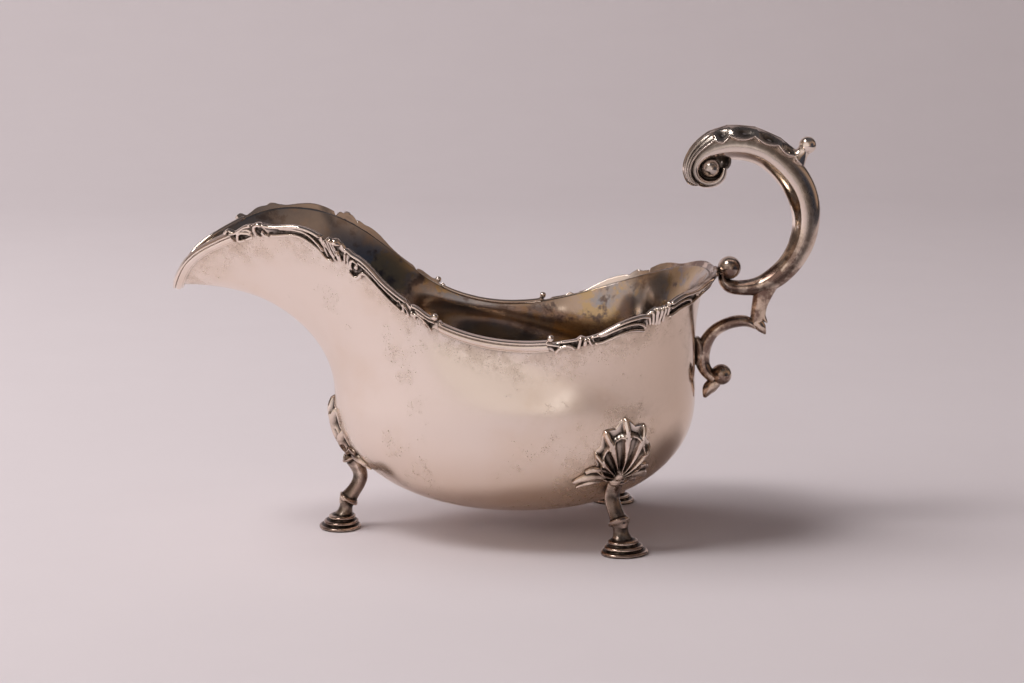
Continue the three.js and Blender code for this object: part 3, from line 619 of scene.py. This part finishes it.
LOWER_SCROLL = [
    [71.8, 56.6, 0.8, 1.2], [69.4, 58.1, 1.5, 1.8], [66.2, 58.1, 1.7, 2.0], [62.6, 56.9, 1.7, 2.0],
    [59.4, 54.4, 1.8, 2.1], [57.6, 50.8, 2.0, 2.2], [57.2, 47.3, 2.0, 2.2], [58.2, 44.4, 1.8, 2.1],
    [60.6, 42.3, 1.7, 2.0],
]
LOWER_BUTTON = {"at": (62.5, 43.2), "radius": 2.9, "half": 3.2}
LOWER_LEAF = [
    [61.6, 41.2, 1.4, 1.8], [59.4, 39.6, 1.9, 1.8], [58.0, 36.8, 0.5, 0.6],
]
# Half of the handle's section as (outward, sideways) shares of its half sizes: round outside, then a
# crease along its side, and a flatter bevel to the inner edge.
HANDLE_SECTION = [
    (1, 0), (0.93, 0.38), (0.72, 0.70), (0.38, 0.92), (0.05, 1.0), (-0.22, 0.98), (-0.42, 0.88),
]
HANDLE_INNER = [(-0.42, 0.88), (-0.66, 0.60), (-0.86, 0.31), (-1, 0)]


def handle_section(sides):
    outer = open_curve(HANDLE_SECTION, sides // 4 + 1)[:-1]
    inner = open_curve(HANDLE_INNER, sides // 4 + 1)
    half = np.concatenate([outer, inner])
    return np.concatenate([half, half[1:-1][::-1] * [1, -1]])


def oval_section(sides=28):
    around = np.linspace(0, 2 * math.pi, sides, endpoint=False)
    return np.stack([np.cos(around), np.sin(around)], -1)


def plane_frames(rows, count):
    """Places and sizes along a path in the handle's plane, and the directions that point out of it."""
    line = open_curve(rows, count)
    ahead = np.gradient(line[:, :2], axis=0)
    ahead /= np.linalg.norm(ahead, axis=1)[:, None]
    return line, np.stack([ahead[:, 1], -ahead[:, 0]], -1)


def plane_sweep(rows, count=80, section=None, grime_and_painted_shade=0.0):
    """Bar whose path lies in the upright plane through the handle."""
    section = oval_section() if section is None else section
    line, outward = plane_frames(rows, count)
    rings = []
    for (x, z, thick, wide), (ox, oz) in zip(line, outward):
        out = section[:, 0] * thick
        rings.append(np.stack([x + ox * out, section[:, 1] * wide, z + oz * out], -1))
    return loft(rings, np.full((count, len(section)), grime_and_painted_shade))


def button(spec, sides=48, grime_and_painted_shade=0.0):
    x, z = spec["at"]
    half = spec.get("half", spec["radius"])
    round_body = ball(np.zeros(3), np.array([spec["radius"], spec["radius"], half]), sides, grime_and_painted_shade)
    return Body(round_body.points[:, [0, 2, 1]] + [x, 0, z], round_body.faces, round_body.grime_and_painted_shade)


def handle_scroll_bodies():
    section = handle_section(96)
    # The dark band along each side of the scroll is a painted dark reflection, laid into the grime field.
    off_band = (section[:, 0] - PAINTED_REFLECTION_BAND["middle"]) / PAINTED_REFLECTION_BAND["width"]
    body = plane_sweep(HANDLE_SCROLL, 300, section, PAINTED_REFLECTION_BAND["strength"] * np.exp(-(off_band**2)))
    # The web discs are painted fully dark: painted shade in the recess behind the button.
    webs = [button(web, grime_and_painted_shade=1.0) for web in VOLUTE_WEB]
    return [body, button(VOLUTE_BUTTON, grime_and_painted_shade=0.4), button(ROOT_BUTTON, grime_and_painted_shade=0.2), *webs]


# The leaf on the handle: where each lobe ends, as a share of the scroll's length.
LEAF_LOBES = (0.905, 0.775, 0.735, 0.672, 0.610, 0.560, 0.530)


def leaf_bodies():
    """Acanthus leaf over the outside of the scroll, with spoon-shaped lobes and a rolled wavy edge."""
    count = 420
    around = 130
    places = np.linspace(LEAF_LOBES[0], LEAF_LOBES[-1], count)
    lobe = np.interp(-places, [-place for place in LEAF_LOBES], range(len(LEAF_LOBES)))
    line, outward = plane_frames(HANDLE_SCROLL, 2400)
    across = np.linspace(-1, 1, around)
    side = np.abs(across)
    edge_roll = np.exp(-(((side - 0.93) / 0.06) ** 2))
    vein = np.exp(-((across / 0.1) ** 2))
    rings = []
    grimes = []
    for i, (place, at_lobe) in enumerate(zip(places, lobe)):
        share = i / (count - 1)
        x, z, thick, wide = line[int(place * 2399)]
        ox, oz = outward[int(place * 2399)]
        stem = np.clip(1.2 - at_lobe, 0, 1)  # 1 along the grooved stem, 0 in the lobes
        wave = np.abs(np.sin(math.pi * at_lobe)) ** 0.7 * (1 - stem)
        narrowing = 1 - 0.45 * np.clip(at_lobe / 6, 0, 1) ** 2
        angle = np.radians((LEAF["spread"] - 6 * stem) * narrowing * (0.84 + 0.22 * wave) * across)
        bare = np.stack([np.cos(angle) * thick, np.sin(angle) * wide], -1)
        spoon_at = at_lobe - 0.12 - 0.25 * (side - 0.6)
        spoon = np.sin(math.pi * spoon_at) ** 2 * np.exp(-(((side - 0.56) / 0.24) ** 2)) * (1 - stem)
        seam = (1 - np.abs(np.sin(math.pi * spoon_at)) ** 0.5) * (1 - stem)
        grooves = np.cos(2 * math.pi * side * 3.5) * stem
        ends = np.clip(np.minimum(share, 1 - share) / 0.04, 0.08, 1) ** 0.5
        relief = 0.8 + 0.55 * edge_roll - 0.85 * spoon + 0.25 * vein + 0.25 * seam + 0.22 * grooves
        lift = LEAF["thickness"] * ends * relief * np.clip((1 - side) / 0.035, 0, 1) ** 0.5
        grown = bare * (1 + lift / np.hypot(bare[:, 0], bare[:, 1]))[:, None]
        profile = np.concatenate([grown, 0.85 * bare[::-1]])
        rings.append(np.stack([x + ox * profile[:, 0], profile[:, 1], z + oz * profile[:, 0]], -1))
        rubbed = np.clip(edge_roll + 0.6 * vein, 0, 1)
        hollow = np.clip(0.22 * (1 - rubbed) + 0.8 * spoon**0.6 + 0.8 * np.clip(-grooves, 0, 1), 0, 1)
        grimes.append(np.r_[hollow, np.ones(around)])
    bead_x, bead_z = THUMB_BEAD["at"]
    stalk_x, stalk_z = THUMB_BEAD["stalk"]
    neck = THUMB_BEAD["neck"]
    stalk = plane_sweep([
        [stalk_x - 1.4, stalk_z - 2.0, neck + 2.0, neck + 1.4],
        [stalk_x, stalk_z, neck + 0.9, neck + 0.8],
        [(stalk_x + bead_x) / 2, (stalk_z + bead_z) / 2, neck, neck],
        [bead_x, bead_z, neck, neck],
    ], 30)
    return [loft(rings, grimes), fused([stalk, button(THUMB_BEAD)], BEAD_VOXEL, *BEAD_GRIME)]


def lower_scroll_bodies():
    back = BELLY["back"]
    seat = [[back + 0.3, 53.6, 0.8, 1.6], [back + 1.2, 52, 1.6, 2.1],
            [back + 1.4, 48, 1.6, 2.1], [back + 0.6, 46.0, 0.8, 1.6]]
    return [
        plane_sweep(LOWER_SCROLL, 120, handle_section(64), 0.12),
        plane_sweep(LOWER_LEAF, 40, handle_section(48), 0.15),
        button(LOWER_BUTTON, grime_and_painted_shade=0.15),
        plane_sweep(seat, 40, grime_and_painted_shade=0.4),
    ]


def bracket_bodies():
    front_cusp = [[71.6, 58.6, 1.5, 1.6], [73.4, 56.4, 1.4, 1.5], [74.6, 54.6, 0.25, 0.4]]
    back_cusp = [[80.2, 74.4, 1.5, 1.9], [77.2, 70.4, 1.9, 1.9], [74.7, 66.4, 2.0, 1.8],
                 [73.3, 62.8, 1.8, 1.6], [73.7, 59.8, 1.0, 1.2], [75.0, 57.8, 0.25, 0.4]]
    body = plane_sweep(BRACKET, 60, handle_section(48), 0.1)
    return [body, plane_sweep(front_cusp, 24, grime_and_painted_shade=0.1), plane_sweep(back_cusp, 48, grime_and_painted_shade=0.1)]


# ---- feet
# Rows of [distance outward from the middle of the pad, height, half thickness, half width].
LEG = [
    [-2.4, 21.6, 0.9, 1.6], [-3.6, 20.0, 2.1, 2.3], [-4.8, 17.9, 2.1, 2.3], [-5.8, 15.0, 2.05, 2.25],
    [-4.9, 12.1, 2.0, 2.3], [-3.1, 9.4, 2.2, 2.5], [-2.2, 8.0, 2.4, 2.7], [-1.8, 6.6, 2.0, 2.1],
]
KNEE = [
    [-3.6, 19.6, 1.8, 1.9], [-1.1, 20.4, 0.6, 0.8],
]
KNEE_COLLAR = [
    [-2.9, 21.3, 1.9, 2.0], [-3.2, 20.8, 2.7, 2.9], [-3.5, 20.3, 3.0, 3.2], [-3.8, 19.8, 2.4, 2.6],
    [-4.0, 19.4, 1.8, 2.0],
]
ANKLE_COLLAR = [
    [-3.0, 9.0, 2.0, 2.2], [-2.7, 8.5, 2.7, 3.0], [-2.4, 8.1, 2.9, 3.2], [-2.1, 7.6, 2.3, 2.6],
    [-2.0, 7.2, 1.7, 1.8],
]
# Rows of [height, half width, shift outward]: the stepped hoof, a little wider than it is long.
HOOF = [
    (0, 6.3, 0), (0.15, 6.6, 0), (0.5, 6.8, 0), (0.9, 6.6, 0), (1.05, 6.2, -0.1), (1.12, 5.5, -0.2),
    (1.35, 5.3, -0.2), (1.6, 5.55, -0.25), (1.9, 5.65, -0.3), (2.2, 5.45, -0.35), (2.34, 5.0, -0.4),
    (2.42, 4.4, -0.5), (2.7, 4.15, -0.5), (3.0, 4.35, -0.6), (3.3, 4.4, -0.6), (3.6, 4.15, -0.7),
    (3.75, 3.7, -0.8), (3.85, 3.15, -0.9), (4.3, 2.8, -1.1), (5.0, 2.4, -1.4), (6.0, 2.15, -1.7),
    (7.2, 2.3, -2.0),
]
HOOF_LENGTH = 0.86  # its length as a share of its width
HOOF_SIDES = 72
FOOT_VOXEL = 0.13
LEG_GRIME = (0.14, 0.82)
SHELL_GRIME = (0.26, 0.32)
WING_GRIME = (0.20, 0.75)


def place_foot(body, foot):
    turn = math.radians(foot["outward"])
    across, along, up = body.points.T[[1, 0, 2]]
    x = foot["base"][0] + along * math.cos(turn) - across * math.sin(turn)
    y = foot["base"][1] + along * math.sin(turn) + across * math.cos(turn)
    return Body(np.stack([x, y, up], -1), body.faces, body.grime_and_painted_shade)


def leg_body():
    """Cabriole leg with a ridge down its front, two collars and a stepped hoof, in the foot's own frame."""
    around = np.linspace(0, 2 * math.pi, 32, endpoint=False)
    ridged = np.stack([-power(np.cos(around), 1.25), power(np.sin(around), 1.05)], -1)
    around = np.linspace(0, 2 * math.pi, HOOF_SIDES, endpoint=False)
    rings = []
    for height, width, shift in open_curve(HOOF, 110):
        along = shift + HOOF_LENGTH * width * np.cos(around)
        rings.append(np.stack([along, width * np.sin(around), np.full(HOOF_SIDES, height)], -1))
    bodies = [plane_sweep(LEG, 70, ridged), plane_sweep(KNEE, 20), loft(rings)]
    bodies += [plane_sweep(KNEE_COLLAR, 24), plane_sweep(ANKLE_COLLAR, 24)]
    return fused(bodies, FOOT_VOXEL, *LEG_GRIME)


def shell_body(station):
    """Scallop shell: ribs fan out to points on the rim, and arched flutes lie between them."""
    columns = 280
    share = np.linspace(0.05, 1, 96)[:, None]
    angle = np.linspace(-SHELL["sweep"], SHELL["sweep"], columns)[None, :]
    tilt = -SHELL["tilt"] * math.copysign(1, STATIONS / 2 - station) if station else 0
    turn = np.radians(angle + tilt)
    phase = (angle / SHELL["sweep"] + 1) / 2 * (SHELL["ribs"] - 1)
    off_rib = 2 * np.abs(phase - np.round(phase))  # 0 on a rib, 1 in the middle of a flute
    upright = np.clip(np.cos(np.radians(angle)), 0, 1)
    reach = SHELL["side"] + (SHELL["top"] - SHELL["side"]) * upright**1.8
    reach = reach * (1 - 0.11 * off_rib)
    sideways = np.sin(turn) * reach * share
    climb = np.cos(turn) * reach * share
    dome = np.sin(math.pi * share**0.8) ** 0.6
    rib_width = 0.24 + 0.34 * share - 0.34 * ramp(share, 0.72, 0.28)
    rib = 1 - np.clip(off_rib / rib_width, 0, 1) ** 1.5
    deep = ramp(off_rib, rib_width * 0.7, 0.35) * ramp(share, 0, 0.25)
    arch = 0.80 - 0.13 * (1 - off_rib) ** 1.5
    arch_lip = np.exp(-(((share - arch) / 0.03) ** 2)) * ramp(off_rib, 0.15, 0.2)
    past_arch = ramp(share, arch + 0.03, 0.05) * ramp(off_rib, 0.2, 0.2)
    height = 1.1 + 0.9 * dome + 0.75 * rib - 0.8 * deep + 0.6 * arch_lip - 0.75 * past_arch
    height = height * (1 - 0.55 * ramp(share, 0.8, 0.2) ** 1.5)
    height = np.maximum(height, 0.35) * np.clip((1 - share) / 0.04, 0, 1) ** 0.5
    top = on_wall(station, sideways, climb, height)
    under = on_wall(station, sideways, climb, np.full_like(height, -0.5))
    # each column of the shell, out along its top and back underneath, is one ring
    return loft([np.concatenate([top[:, c], under[::-1, c]]) for c in range(columns)])


# Curls beside the shell's root, as rows of (sideways, up the wall, radius).
WINGS = [
    [(2.0, -0.6, 1.3), (4.6, -0.1, 1.5), (7.2, 0.2, 1.5), (9.2, -0.6, 1.2), (10.8, -2.2, 0.6)],
    [(3.0, 1.2, 0.9), (5.4, 2.2, 1.1), (7.6, 2.4, 1.0), (9.2, 1.6, 0.8)],
    [(3.6, -2.2, 0.7), (5.8, -2.4, 0.9), (7.6, -3.2, 0.7), (8.8, -4.6, 0.3)],
]
SHELL_STEM = [(-0.3, -1.6, 1.9), (0, 0.4, 1.7), (0, 1.8, 1.2)]


def wing_body(station, side, path):
    around = np.linspace(0, 2 * math.pi, 14, endpoint=False)
    line = open_curve(path, 30)
    ahead = np.gradient(line[:, :2], axis=0)
    ahead /= np.linalg.norm(ahead, axis=1)[:, None]
    rings = []
    for (a, b, r), (da, db) in zip(line, ahead):
        sideways = side * (a - db * r * np.cos(around))
        climb = b + da * r * np.cos(around)
        rings.append(on_wall(station, sideways, climb, 0.25 + r * np.sin(around)))
    return loft(rings)


def shell_casting(station):
    shell = [shell_body(station)]
    for sideways, climb, radius in SHELL_STEM:
        centre = on_wall(station, np.array([sideways]), np.array([climb]), np.array([0.9]))[0]
        shell.append(ball(centre, np.full(3, radius), 16))
    wings = [wing_body(station, side, path) for path in WINGS for side in (-1, 1)]
    return [fused(shell, FOOT_VOXEL, *SHELL_GRIME), fused(wings, FOOT_VOXEL, *WING_GRIME)]


# ---- materials
SILVER = (0.95, 0.835, 0.745)
SILVER_WARM = (0.80, 0.61, 0.45)
FILM = (0.56, 0.44, 0.33)
TARNISH = (0.24, 0.15, 0.10)
RED_TARNISH = (0.17, 0.095, 0.075)
OXIDE = (0.032, 0.024, 0.019)
INSIDE_BROWN = (0.56, 0.43, 0.33)
INSIDE_GREY = (0.40, 0.39, 0.40)
INSIDE_GOLD = (0.60, 0.44, 0.25)
INSIDE_DARK = (0.20, 0.15, 0.13)


def direction(azimuth, elevation):
    """Unit vector: azimuth in degrees from the camera's side (-Y) towards the handle, then upward."""
    turn = math.radians(azimuth)
    lift = math.radians(elevation)
    return math.sin(turn) * math.cos(lift), -math.cos(turn) * math.cos(lift), math.sin(lift)


class Recipe:
    """Short names for adding nodes to one node tree."""

    def __init__(self, tree):
        self.nodes = tree.nodes
        self.links = tree.links

    def feed(self, socket, value):
        if isinstance(value, (int, float)):
            socket.default_value = value
        elif isinstance(value, tuple):
            socket.default_value = (*value, 1)[: len(socket.default_value)]
        else:
            self.links.new(value, socket)

    def add(self, kind, output, inputs, **settings):
        """New node with its settings and inputs, given by the name of the output that is wanted."""
        node = self.nodes.new("ShaderNode" + kind)
        for key, setting in settings.items():
            setattr(node, key, setting)
        for key, value in inputs.items():
            self.feed(node.inputs[key], value)
        return node.outputs[output]

    def noise(self, place, scale, detail, roughness, stretch=None):
        if stretch is not None:
            turned = {"Vector": place, "Scale": stretch, "Rotation": (0.3, 0.2, 0.5)}
            place = self.add("Mapping", "Vector", turned)
        fields = {"Vector": place, "Scale": scale, "Detail": detail, "Roughness": roughness}
        return self.add("TexNoise", "Fac", fields)

    def specks(self, place, scale, size):
        """1 in the middle of scattered round specks, 0 away from them."""
        far = self.add("TexVoronoi", "Distance", {"Vector": place, "Scale": scale})
        return self.span(far, size, size * 0.4)

    def span(self, value, low, high, out_low=0.0, out_high=1.0):
        fields = {"Value": value, "From Min": low, "From Max": high, "To Min": out_low, "To Max": out_high}
        return self.add("MapRange", "Result", fields, interpolation_type="SMOOTHSTEP")

    def maths(self, operation, first, second):
        clamped = operation in ("ADD", "MULTIPLY")
        return self.add("Math", "Value", {0: first, 1: second}, operation=operation, use_clamp=clamped)

    def product(self, *values):
        result = values[0]
        for value in values[1:]:
            result = self.maths("MULTIPLY", result, value)
        return result

    def mix(self, factor, first, second):
        return self.add("Mix", "Result", {"Factor": factor, "A": first, "B": second}, data_type="RGBA")

    def attribute(self, name):
        return self.add("Attribute", "Fac", {}, attribute_name=name)

    def place_and_parts(self):
        """Place in the object's own frame, with its x and z."""
        place = self.add("TexCoord", "Object", {})
        parts = self.add("SeparateXYZ", "X", {"Vector": place}).node
        return place, parts.outputs["X"], parts.outputs["Z"]

    def dot(self, vector, toward):
        return self.add("VectorMath", "Value", {0: vector, 1: toward}, operation="DOT_PRODUCT")

    def hollow(self, reach, open_at, shut_at):
        """1 where other surfaces close in within reach, 0 in the open. The colour that it darkens is
        painted shade.
        """
        light = self.add("AmbientOcclusion", "AO", {"Distance": reach}, samples=8)
        return self.span(light, open_at, shut_at)


def new_material(name):
    material = bpy.data.materials.new(name)
    material.use_nodes = True
    return material, material.node_tree.nodes["Principled BSDF"], Recipe(material.node_tree)


def finish_silver(shader, made, place, colour, polish, dulled, ripple, pits=0.0):
    """Colour, with roughness from what dulls it, and the relief of scratches, ripples and pits."""
    roughness = made.span(made.noise(place, 900, 3.0, 0.6), 0.3, 0.7, *polish)
    for part, amount in dulled:
        roughness = made.maths("ADD", roughness, made.product(part, amount))
    scratches = made.product(made.noise(place, 240, 2.0, 0.5, (6, 0.5, 1.2)), 0.03)
    ripple_scale, ripple_height = ripple
    ripples = made.product(made.noise(place, ripple_scale, 1.0, 0.4), ripple_height)
    relief = made.maths("SUBTRACT", made.maths("ADD", scratches, ripples), pits)
    bump = made.add("Bump", "Normal", {"Strength": 0.5, "Distance": 0.0002, "Height": relief})
    fields = {"Metallic": 1.0, "Base Color": colour, "Roughness": roughness, "Normal": bump}
    for key, value in fields.items():
        made.feed(shader.inputs[key], value)


def sheet_silver():
    """The bowl: old raised sheet, hazy and pitted outside, with brown, grey and gold stains inside."""
    material, shader, made = new_material("bowl_silver_aged")
    place, x, z = made.place_and_parts()
    inside = made.attribute("inside")
    outside = made.maths("SUBTRACT", 1.0, inside)
    stain = made.attribute("stain")
    warm_end = made.product(made.span(x, -0.005, 0.055), 0.65)
    warm_foot = made.product(made.span(z, 0.034, 0.010), 0.5)
    warm_patches = made.product(made.span(made.noise(place, 26, 5.0, 0.62), 0.45, 0.66), 0.3)
    cloud = made.maths("ADD", made.maths("ADD", warm_end, warm_foot), warm_patches)
    colour = made.mix(cloud, SILVER, SILVER_WARM)
    # fine pits lie in small clusters, and thickest round the castings
    clusters = made.span(made.noise(place, 64, 5.0, 0.68), 0.555, 0.66)
    stains = made.product(stain, made.span(made.noise(place, 110, 4.0, 0.6), 0.36, 0.54))
    crowd = made.maths("ADD", clusters, stains)
    lace = made.span(made.noise(place, 520, 4.0, 0.75), 0.44, 0.58)
    specks = made.maths("MAXIMUM", made.specks(place, 2300, 0.42), made.specks(place, 1300, 0.25))
    pits = made.product(specks, lace, crowd, outside)
    patchy = made.span(made.noise(place, 210, 5.0, 0.7), 0.36, 0.64)
    film = made.product(made.maths("ADD", made.product(clusters, 0.35), stains), patchy, outside)
    colour = made.mix(made.product(film, 0.55), colour, FILM)
    colour = made.mix(made.product(pits, 0.75), colour, TARNISH)
    # inside
    deep = made.mix(made.span(made.noise(place, 48, 5.0, 0.66), 0.44, 0.56), INSIDE_BROWN, INSIDE_GREY)
    deep = made.mix(made.span(made.noise(place, 66, 5.0, 0.68), 0.52, 0.58), deep, INSIDE_GOLD)
    deep = made.mix(made.span(made.noise(place, 90, 5.0, 0.68), 0.53, 0.62), deep, INSIDE_DARK)
    worn = made.span(made.noise(place, 30, 5.0, 0.6), 0.36, 0.56, 0.6, 1.0)
    colour = made.mix(made.product(inside, worn), colour, deep)
    # Ambient-occlusion darkening where other parts close in over the sheet: painted shade, mixed towards
    # the oxide colour.
    grime_and_painted_shade = made.product(made.hollow(0.0035, 0.9, 0.3), 0.75)
    colour = made.mix(grime_and_painted_shade, colour, OXIDE)
    haze = made.product(outside, made.span(x, 0.034, 0.054, 0.14, 0.03))
    dulled = ((haze, 1.0), (inside, 0.05), (cloud, 0.03), (film, 0.12), (pits, 0.2), (grime_and_painted_shade, 0.2))
    depth = made.product(pits, 0.10)
    finish_silver(shader, made, place, colour, (0.07, 0.11), dulled, (55, 0.5), depth)
    return material


def cast_silver_metal():
    """The castings: rubbed bright on their crests, with black oxide in their hollows, painted shade where
    other surfaces close in, and a painted dark reflection band along the handle.
    """
    material, shader, made = new_material("cast_silver_aged")
    place, x, z = made.place_and_parts()
    broad = made.span(made.noise(place, 60, 3.0, 0.55), 0.40, 0.66)
    root_end = made.product(made.span(x, 0.044, 0.060), made.span(z, 0.088, 0.074))
    feet = made.span(z, 0.036, 0.022)
    dull = made.maths("ADD", made.product(root_end, 0.4), made.product(feet, 0.3))
    cloud = made.maths("ADD", made.product(broad, 0.35), dull)
    colour = made.mix(cloud, SILVER, SILVER_WARM)
    shade = made.product(made.hollow(0.0016, 0.9, 0.3), 0.8)
    # Painted shade from occlusion joins the grime field, which also holds the painted dark reflection band;
    # all of it darkens towards oxide.
    grime_and_painted_shade = made.maths("MAXIMUM", made.attribute("grime_and_painted_shade"), shade)
    smudges = made.span(made.noise(place, 150, 4.0, 0.65), 0.40, 0.56)
    colour = made.mix(made.product(smudges, dull, 2.2), colour, RED_TARNISH)
    grime_and_painted_shade = made.product(grime_and_painted_shade, made.span(made.noise(place, 700, 2.0, 0.6), 0.2, 0.6, 0.7, 1.0))
    colour = made.mix(grime_and_painted_shade, colour, OXIDE)
    dulled = ((cloud, 0.05), (grime_and_painted_shade, 0.28))
    finish_silver(shader, made, place, colour, (0.10, 0.15), dulled, (70, 0.35))
    return material


PAPER = (0.665, 0.615, 0.640)
PAPER_GRAIN = (0.64, 0.590, 0.615)
PAINTED_SHADE_PAPER = (0.048, 0.055, 0.08)
PAINTED_SHADE_EDGE = {"azimuth": 62, "near": 0.34, "far": 0.40}  # degrees, and metres from the object


def paper_material():
    """Pale paper, painted dark beyond a line at the front right as painted shade."""
    material, shader, made = new_material("pale_paper")
    place = made.add("TexCoord", "Object", {})
    colour = made.mix(made.noise(place, 25, 5.0, 0.6), PAPER_GRAIN, PAPER)
    # Beyond this line the paper is painted dark: painted shade, which the silver shows as dark reflections.
    away = made.dot(place, direction(PAINTED_SHADE_EDGE["azimuth"], 0))
    colour = made.mix(made.span(away, PAINTED_SHADE_EDGE["near"], PAINTED_SHADE_EDGE["far"]), colour, PAINTED_SHADE_PAPER)
    made.feed(shader.inputs["Base Color"], colour)
    shader.inputs["Roughness"].default_value = 0.85
    return material


bowl_silver = sheet_silver()
cast_silver = cast_silver_metal()

# ---- pieces
bowl, bowl_fields = bowl_body()
make_piece("bowl_fine", [bowl], bowl_silver, "bowl", bowl_fields)


def add_casting(node, bodies):
    make_piece(f"{node}_fine", bodies, cast_silver, node)


WIRE_LAP = 0.9  # how far a reeded wire runs under its neighbours
add_casting("lip_wire", [reeded_wire(-LIP_END - WIRE_LAP, LIP_END + WIRE_LAP)])
for name, start, end in CASTINGS:
    is_wire = name == "side_wire"
    bodies = [reeded_wire(start - WIRE_LAP, end + WIRE_LAP) if is_wire else casting(name, start, end)]
    add_casting(f"{name}_right", bodies)
    add_casting(f"{name}_left", mirror(bodies))

add_casting("handle_scroll", handle_scroll_bodies())
add_casting("handle_leaf", leaf_bodies())
add_casting("handle_bracket", bracket_bodies())
add_casting("lower_scroll", lower_scroll_bodies())

leg = leg_body()
for foot in FEET:
    add_casting(f"{foot['name']}_leg", [place_foot(leg, foot)])
    add_casting(f"{foot['name']}_shell", shell_casting(foot["station"]))

# ---- stage
SWEEP = {"front": -0.65, "flat_to": 0.75, "radius": 0.9, "top": 2.4, "half": 2.6}  # metres


def paper_sweep():
    """Paper that runs flat under the object and curves up behind it."""
    profile = [(SWEEP["front"], 0.0), (SWEEP["flat_to"], 0.0)]
    for turn in np.radians(np.linspace(3, 90, 30)):
        back = SWEEP["flat_to"] + SWEEP["radius"] * math.sin(turn)
        profile.append((back, SWEEP["radius"] * (1 - math.cos(turn))))
    profile.append((profile[-1][0], SWEEP["top"]))
    points = [(x, y, z) for y, z in profile for x in (-SWEEP["half"], SWEEP["half"])]
    faces = [(2 * i, 2 * i + 1, 2 * i + 3, 2 * i + 2) for i in range(len(profile) - 1)]
    mesh = bpy.data.meshes.new("paper_sweep")
    mesh.from_pydata(points, [], faces)
    mesh.polygons.foreach_set("use_smooth", [True] * len(mesh.polygons))
    mesh.materials.append(paper_material())
    sweep = bpy.data.objects.new("paper_sweep", mesh)
    bpy.context.scene.collection.objects.link(sweep)


def stand(name, data, at, toward):
    """Light or camera that stands at a place and looks toward a direction."""
    thing = bpy.data.objects.new(name, data)
    thing.location = at
    thing.rotation_mode = "QUATERNION"
    thing.rotation_quaternion = toward.to_track_quat("-Z", "Y")
    bpy.context.scene.collection.objects.link(thing)
    return thing


def soft_light(name, at, target, size, power_watts, colour, in_reflections=True):
    lamp = bpy.data.lights.new(name, "AREA")
    lamp.shape = "RECTANGLE"
    lamp.size, lamp.size_y = size
    lamp.energy = power_watts
    lamp.color = colour
    light = stand(name, lamp, at, Vector(target) - Vector(at))
    light.visible_glossy = in_reflections


paper_sweep()
MIDDLE = (0.0, 0.0, 0.05)
soft_light("key_light", (-0.72, -0.30, 1.42), MIDDLE, (0.45, 0.45), 7, (1.0, 0.97, 0.95))
soft_light("window_strip", (0.29, -2.15, 0.2), MIDDLE, (0.05, 0.32), 0.2, (0.95, 0.98, 1.0))
soft_light("paper_light", (-0.9, 0.12, 1.25), (-0.2, 0.15, 0), (1.1, 1.1), 15.5, (1.0, 0.965, 0.96), False)
soft_light("low_light", (-1.1, -0.25, 0.35), (0, 0, 0), (0.5, 0.4), 4, (1.0, 0.965, 0.95), False)

# The room: its own two shades, and soft shapes in it as (azimuth, elevation, angle within which the
# shape is full, angle beyond which it is gone, colour).
ROOM_DIM = (0.10, 0.078, 0.068)
ROOM_BROWN = (0.30, 0.215, 0.165)
ROOM_SHAPES = [
    (0, 90, 25, 60, (0.075, 0.072, 0.08)),
    (-28, 2, 22, 56, (0.72, 0.64, 0.61)),
    (58, 4, 12, 32, (0.045, 0.050, 0.068)),
]


def room():
    world = bpy.data.worlds.new("room")
    bpy.context.scene.world = world
    world.use_nodes = True
    made = Recipe(world.node_tree)
    ray = made.add("TexCoord", "Generated", {})
    shapes = made.span(made.noise(ray, 2.6, 2.0, 0.5, (1.6, 1, 0.6)), 0.42, 0.58)
    colour = made.mix(shapes, ROOM_DIM, ROOM_BROWN)
    for azimuth, elevation, full, gone, shade in ROOM_SHAPES:
        near = made.dot(ray, direction(azimuth, elevation))
        near = made.span(near, math.cos(math.radians(gone)), math.cos(math.radians(full)))
        colour = made.mix(near, colour, shade)
    made.feed(made.nodes["Background"].inputs["Color"], colour)


room()
bpy.context.scene.view_settings.view_transform = "Standard"

# ---- camera
CAMERA = {"azimuth": -0.886, "elevation": 10.02, "distance": 0.68067, "lens": 86.4, "sensor": 36}
CAMERA_TARGET = Vector((0.004345, 0, 0.05266))


def add_camera():
    out = Vector(direction(CAMERA["azimuth"], CAMERA["elevation"]))
    data = bpy.data.cameras.new("camera")
    data.sensor_width = CAMERA["sensor"]
    data.lens = CAMERA["lens"]
    data.clip_start = 0.01
    data.clip_end = 20
    bpy.context.scene.camera = stand("camera", data, CAMERA_TARGET + out * CAMERA["distance"], -out)


add_camera()
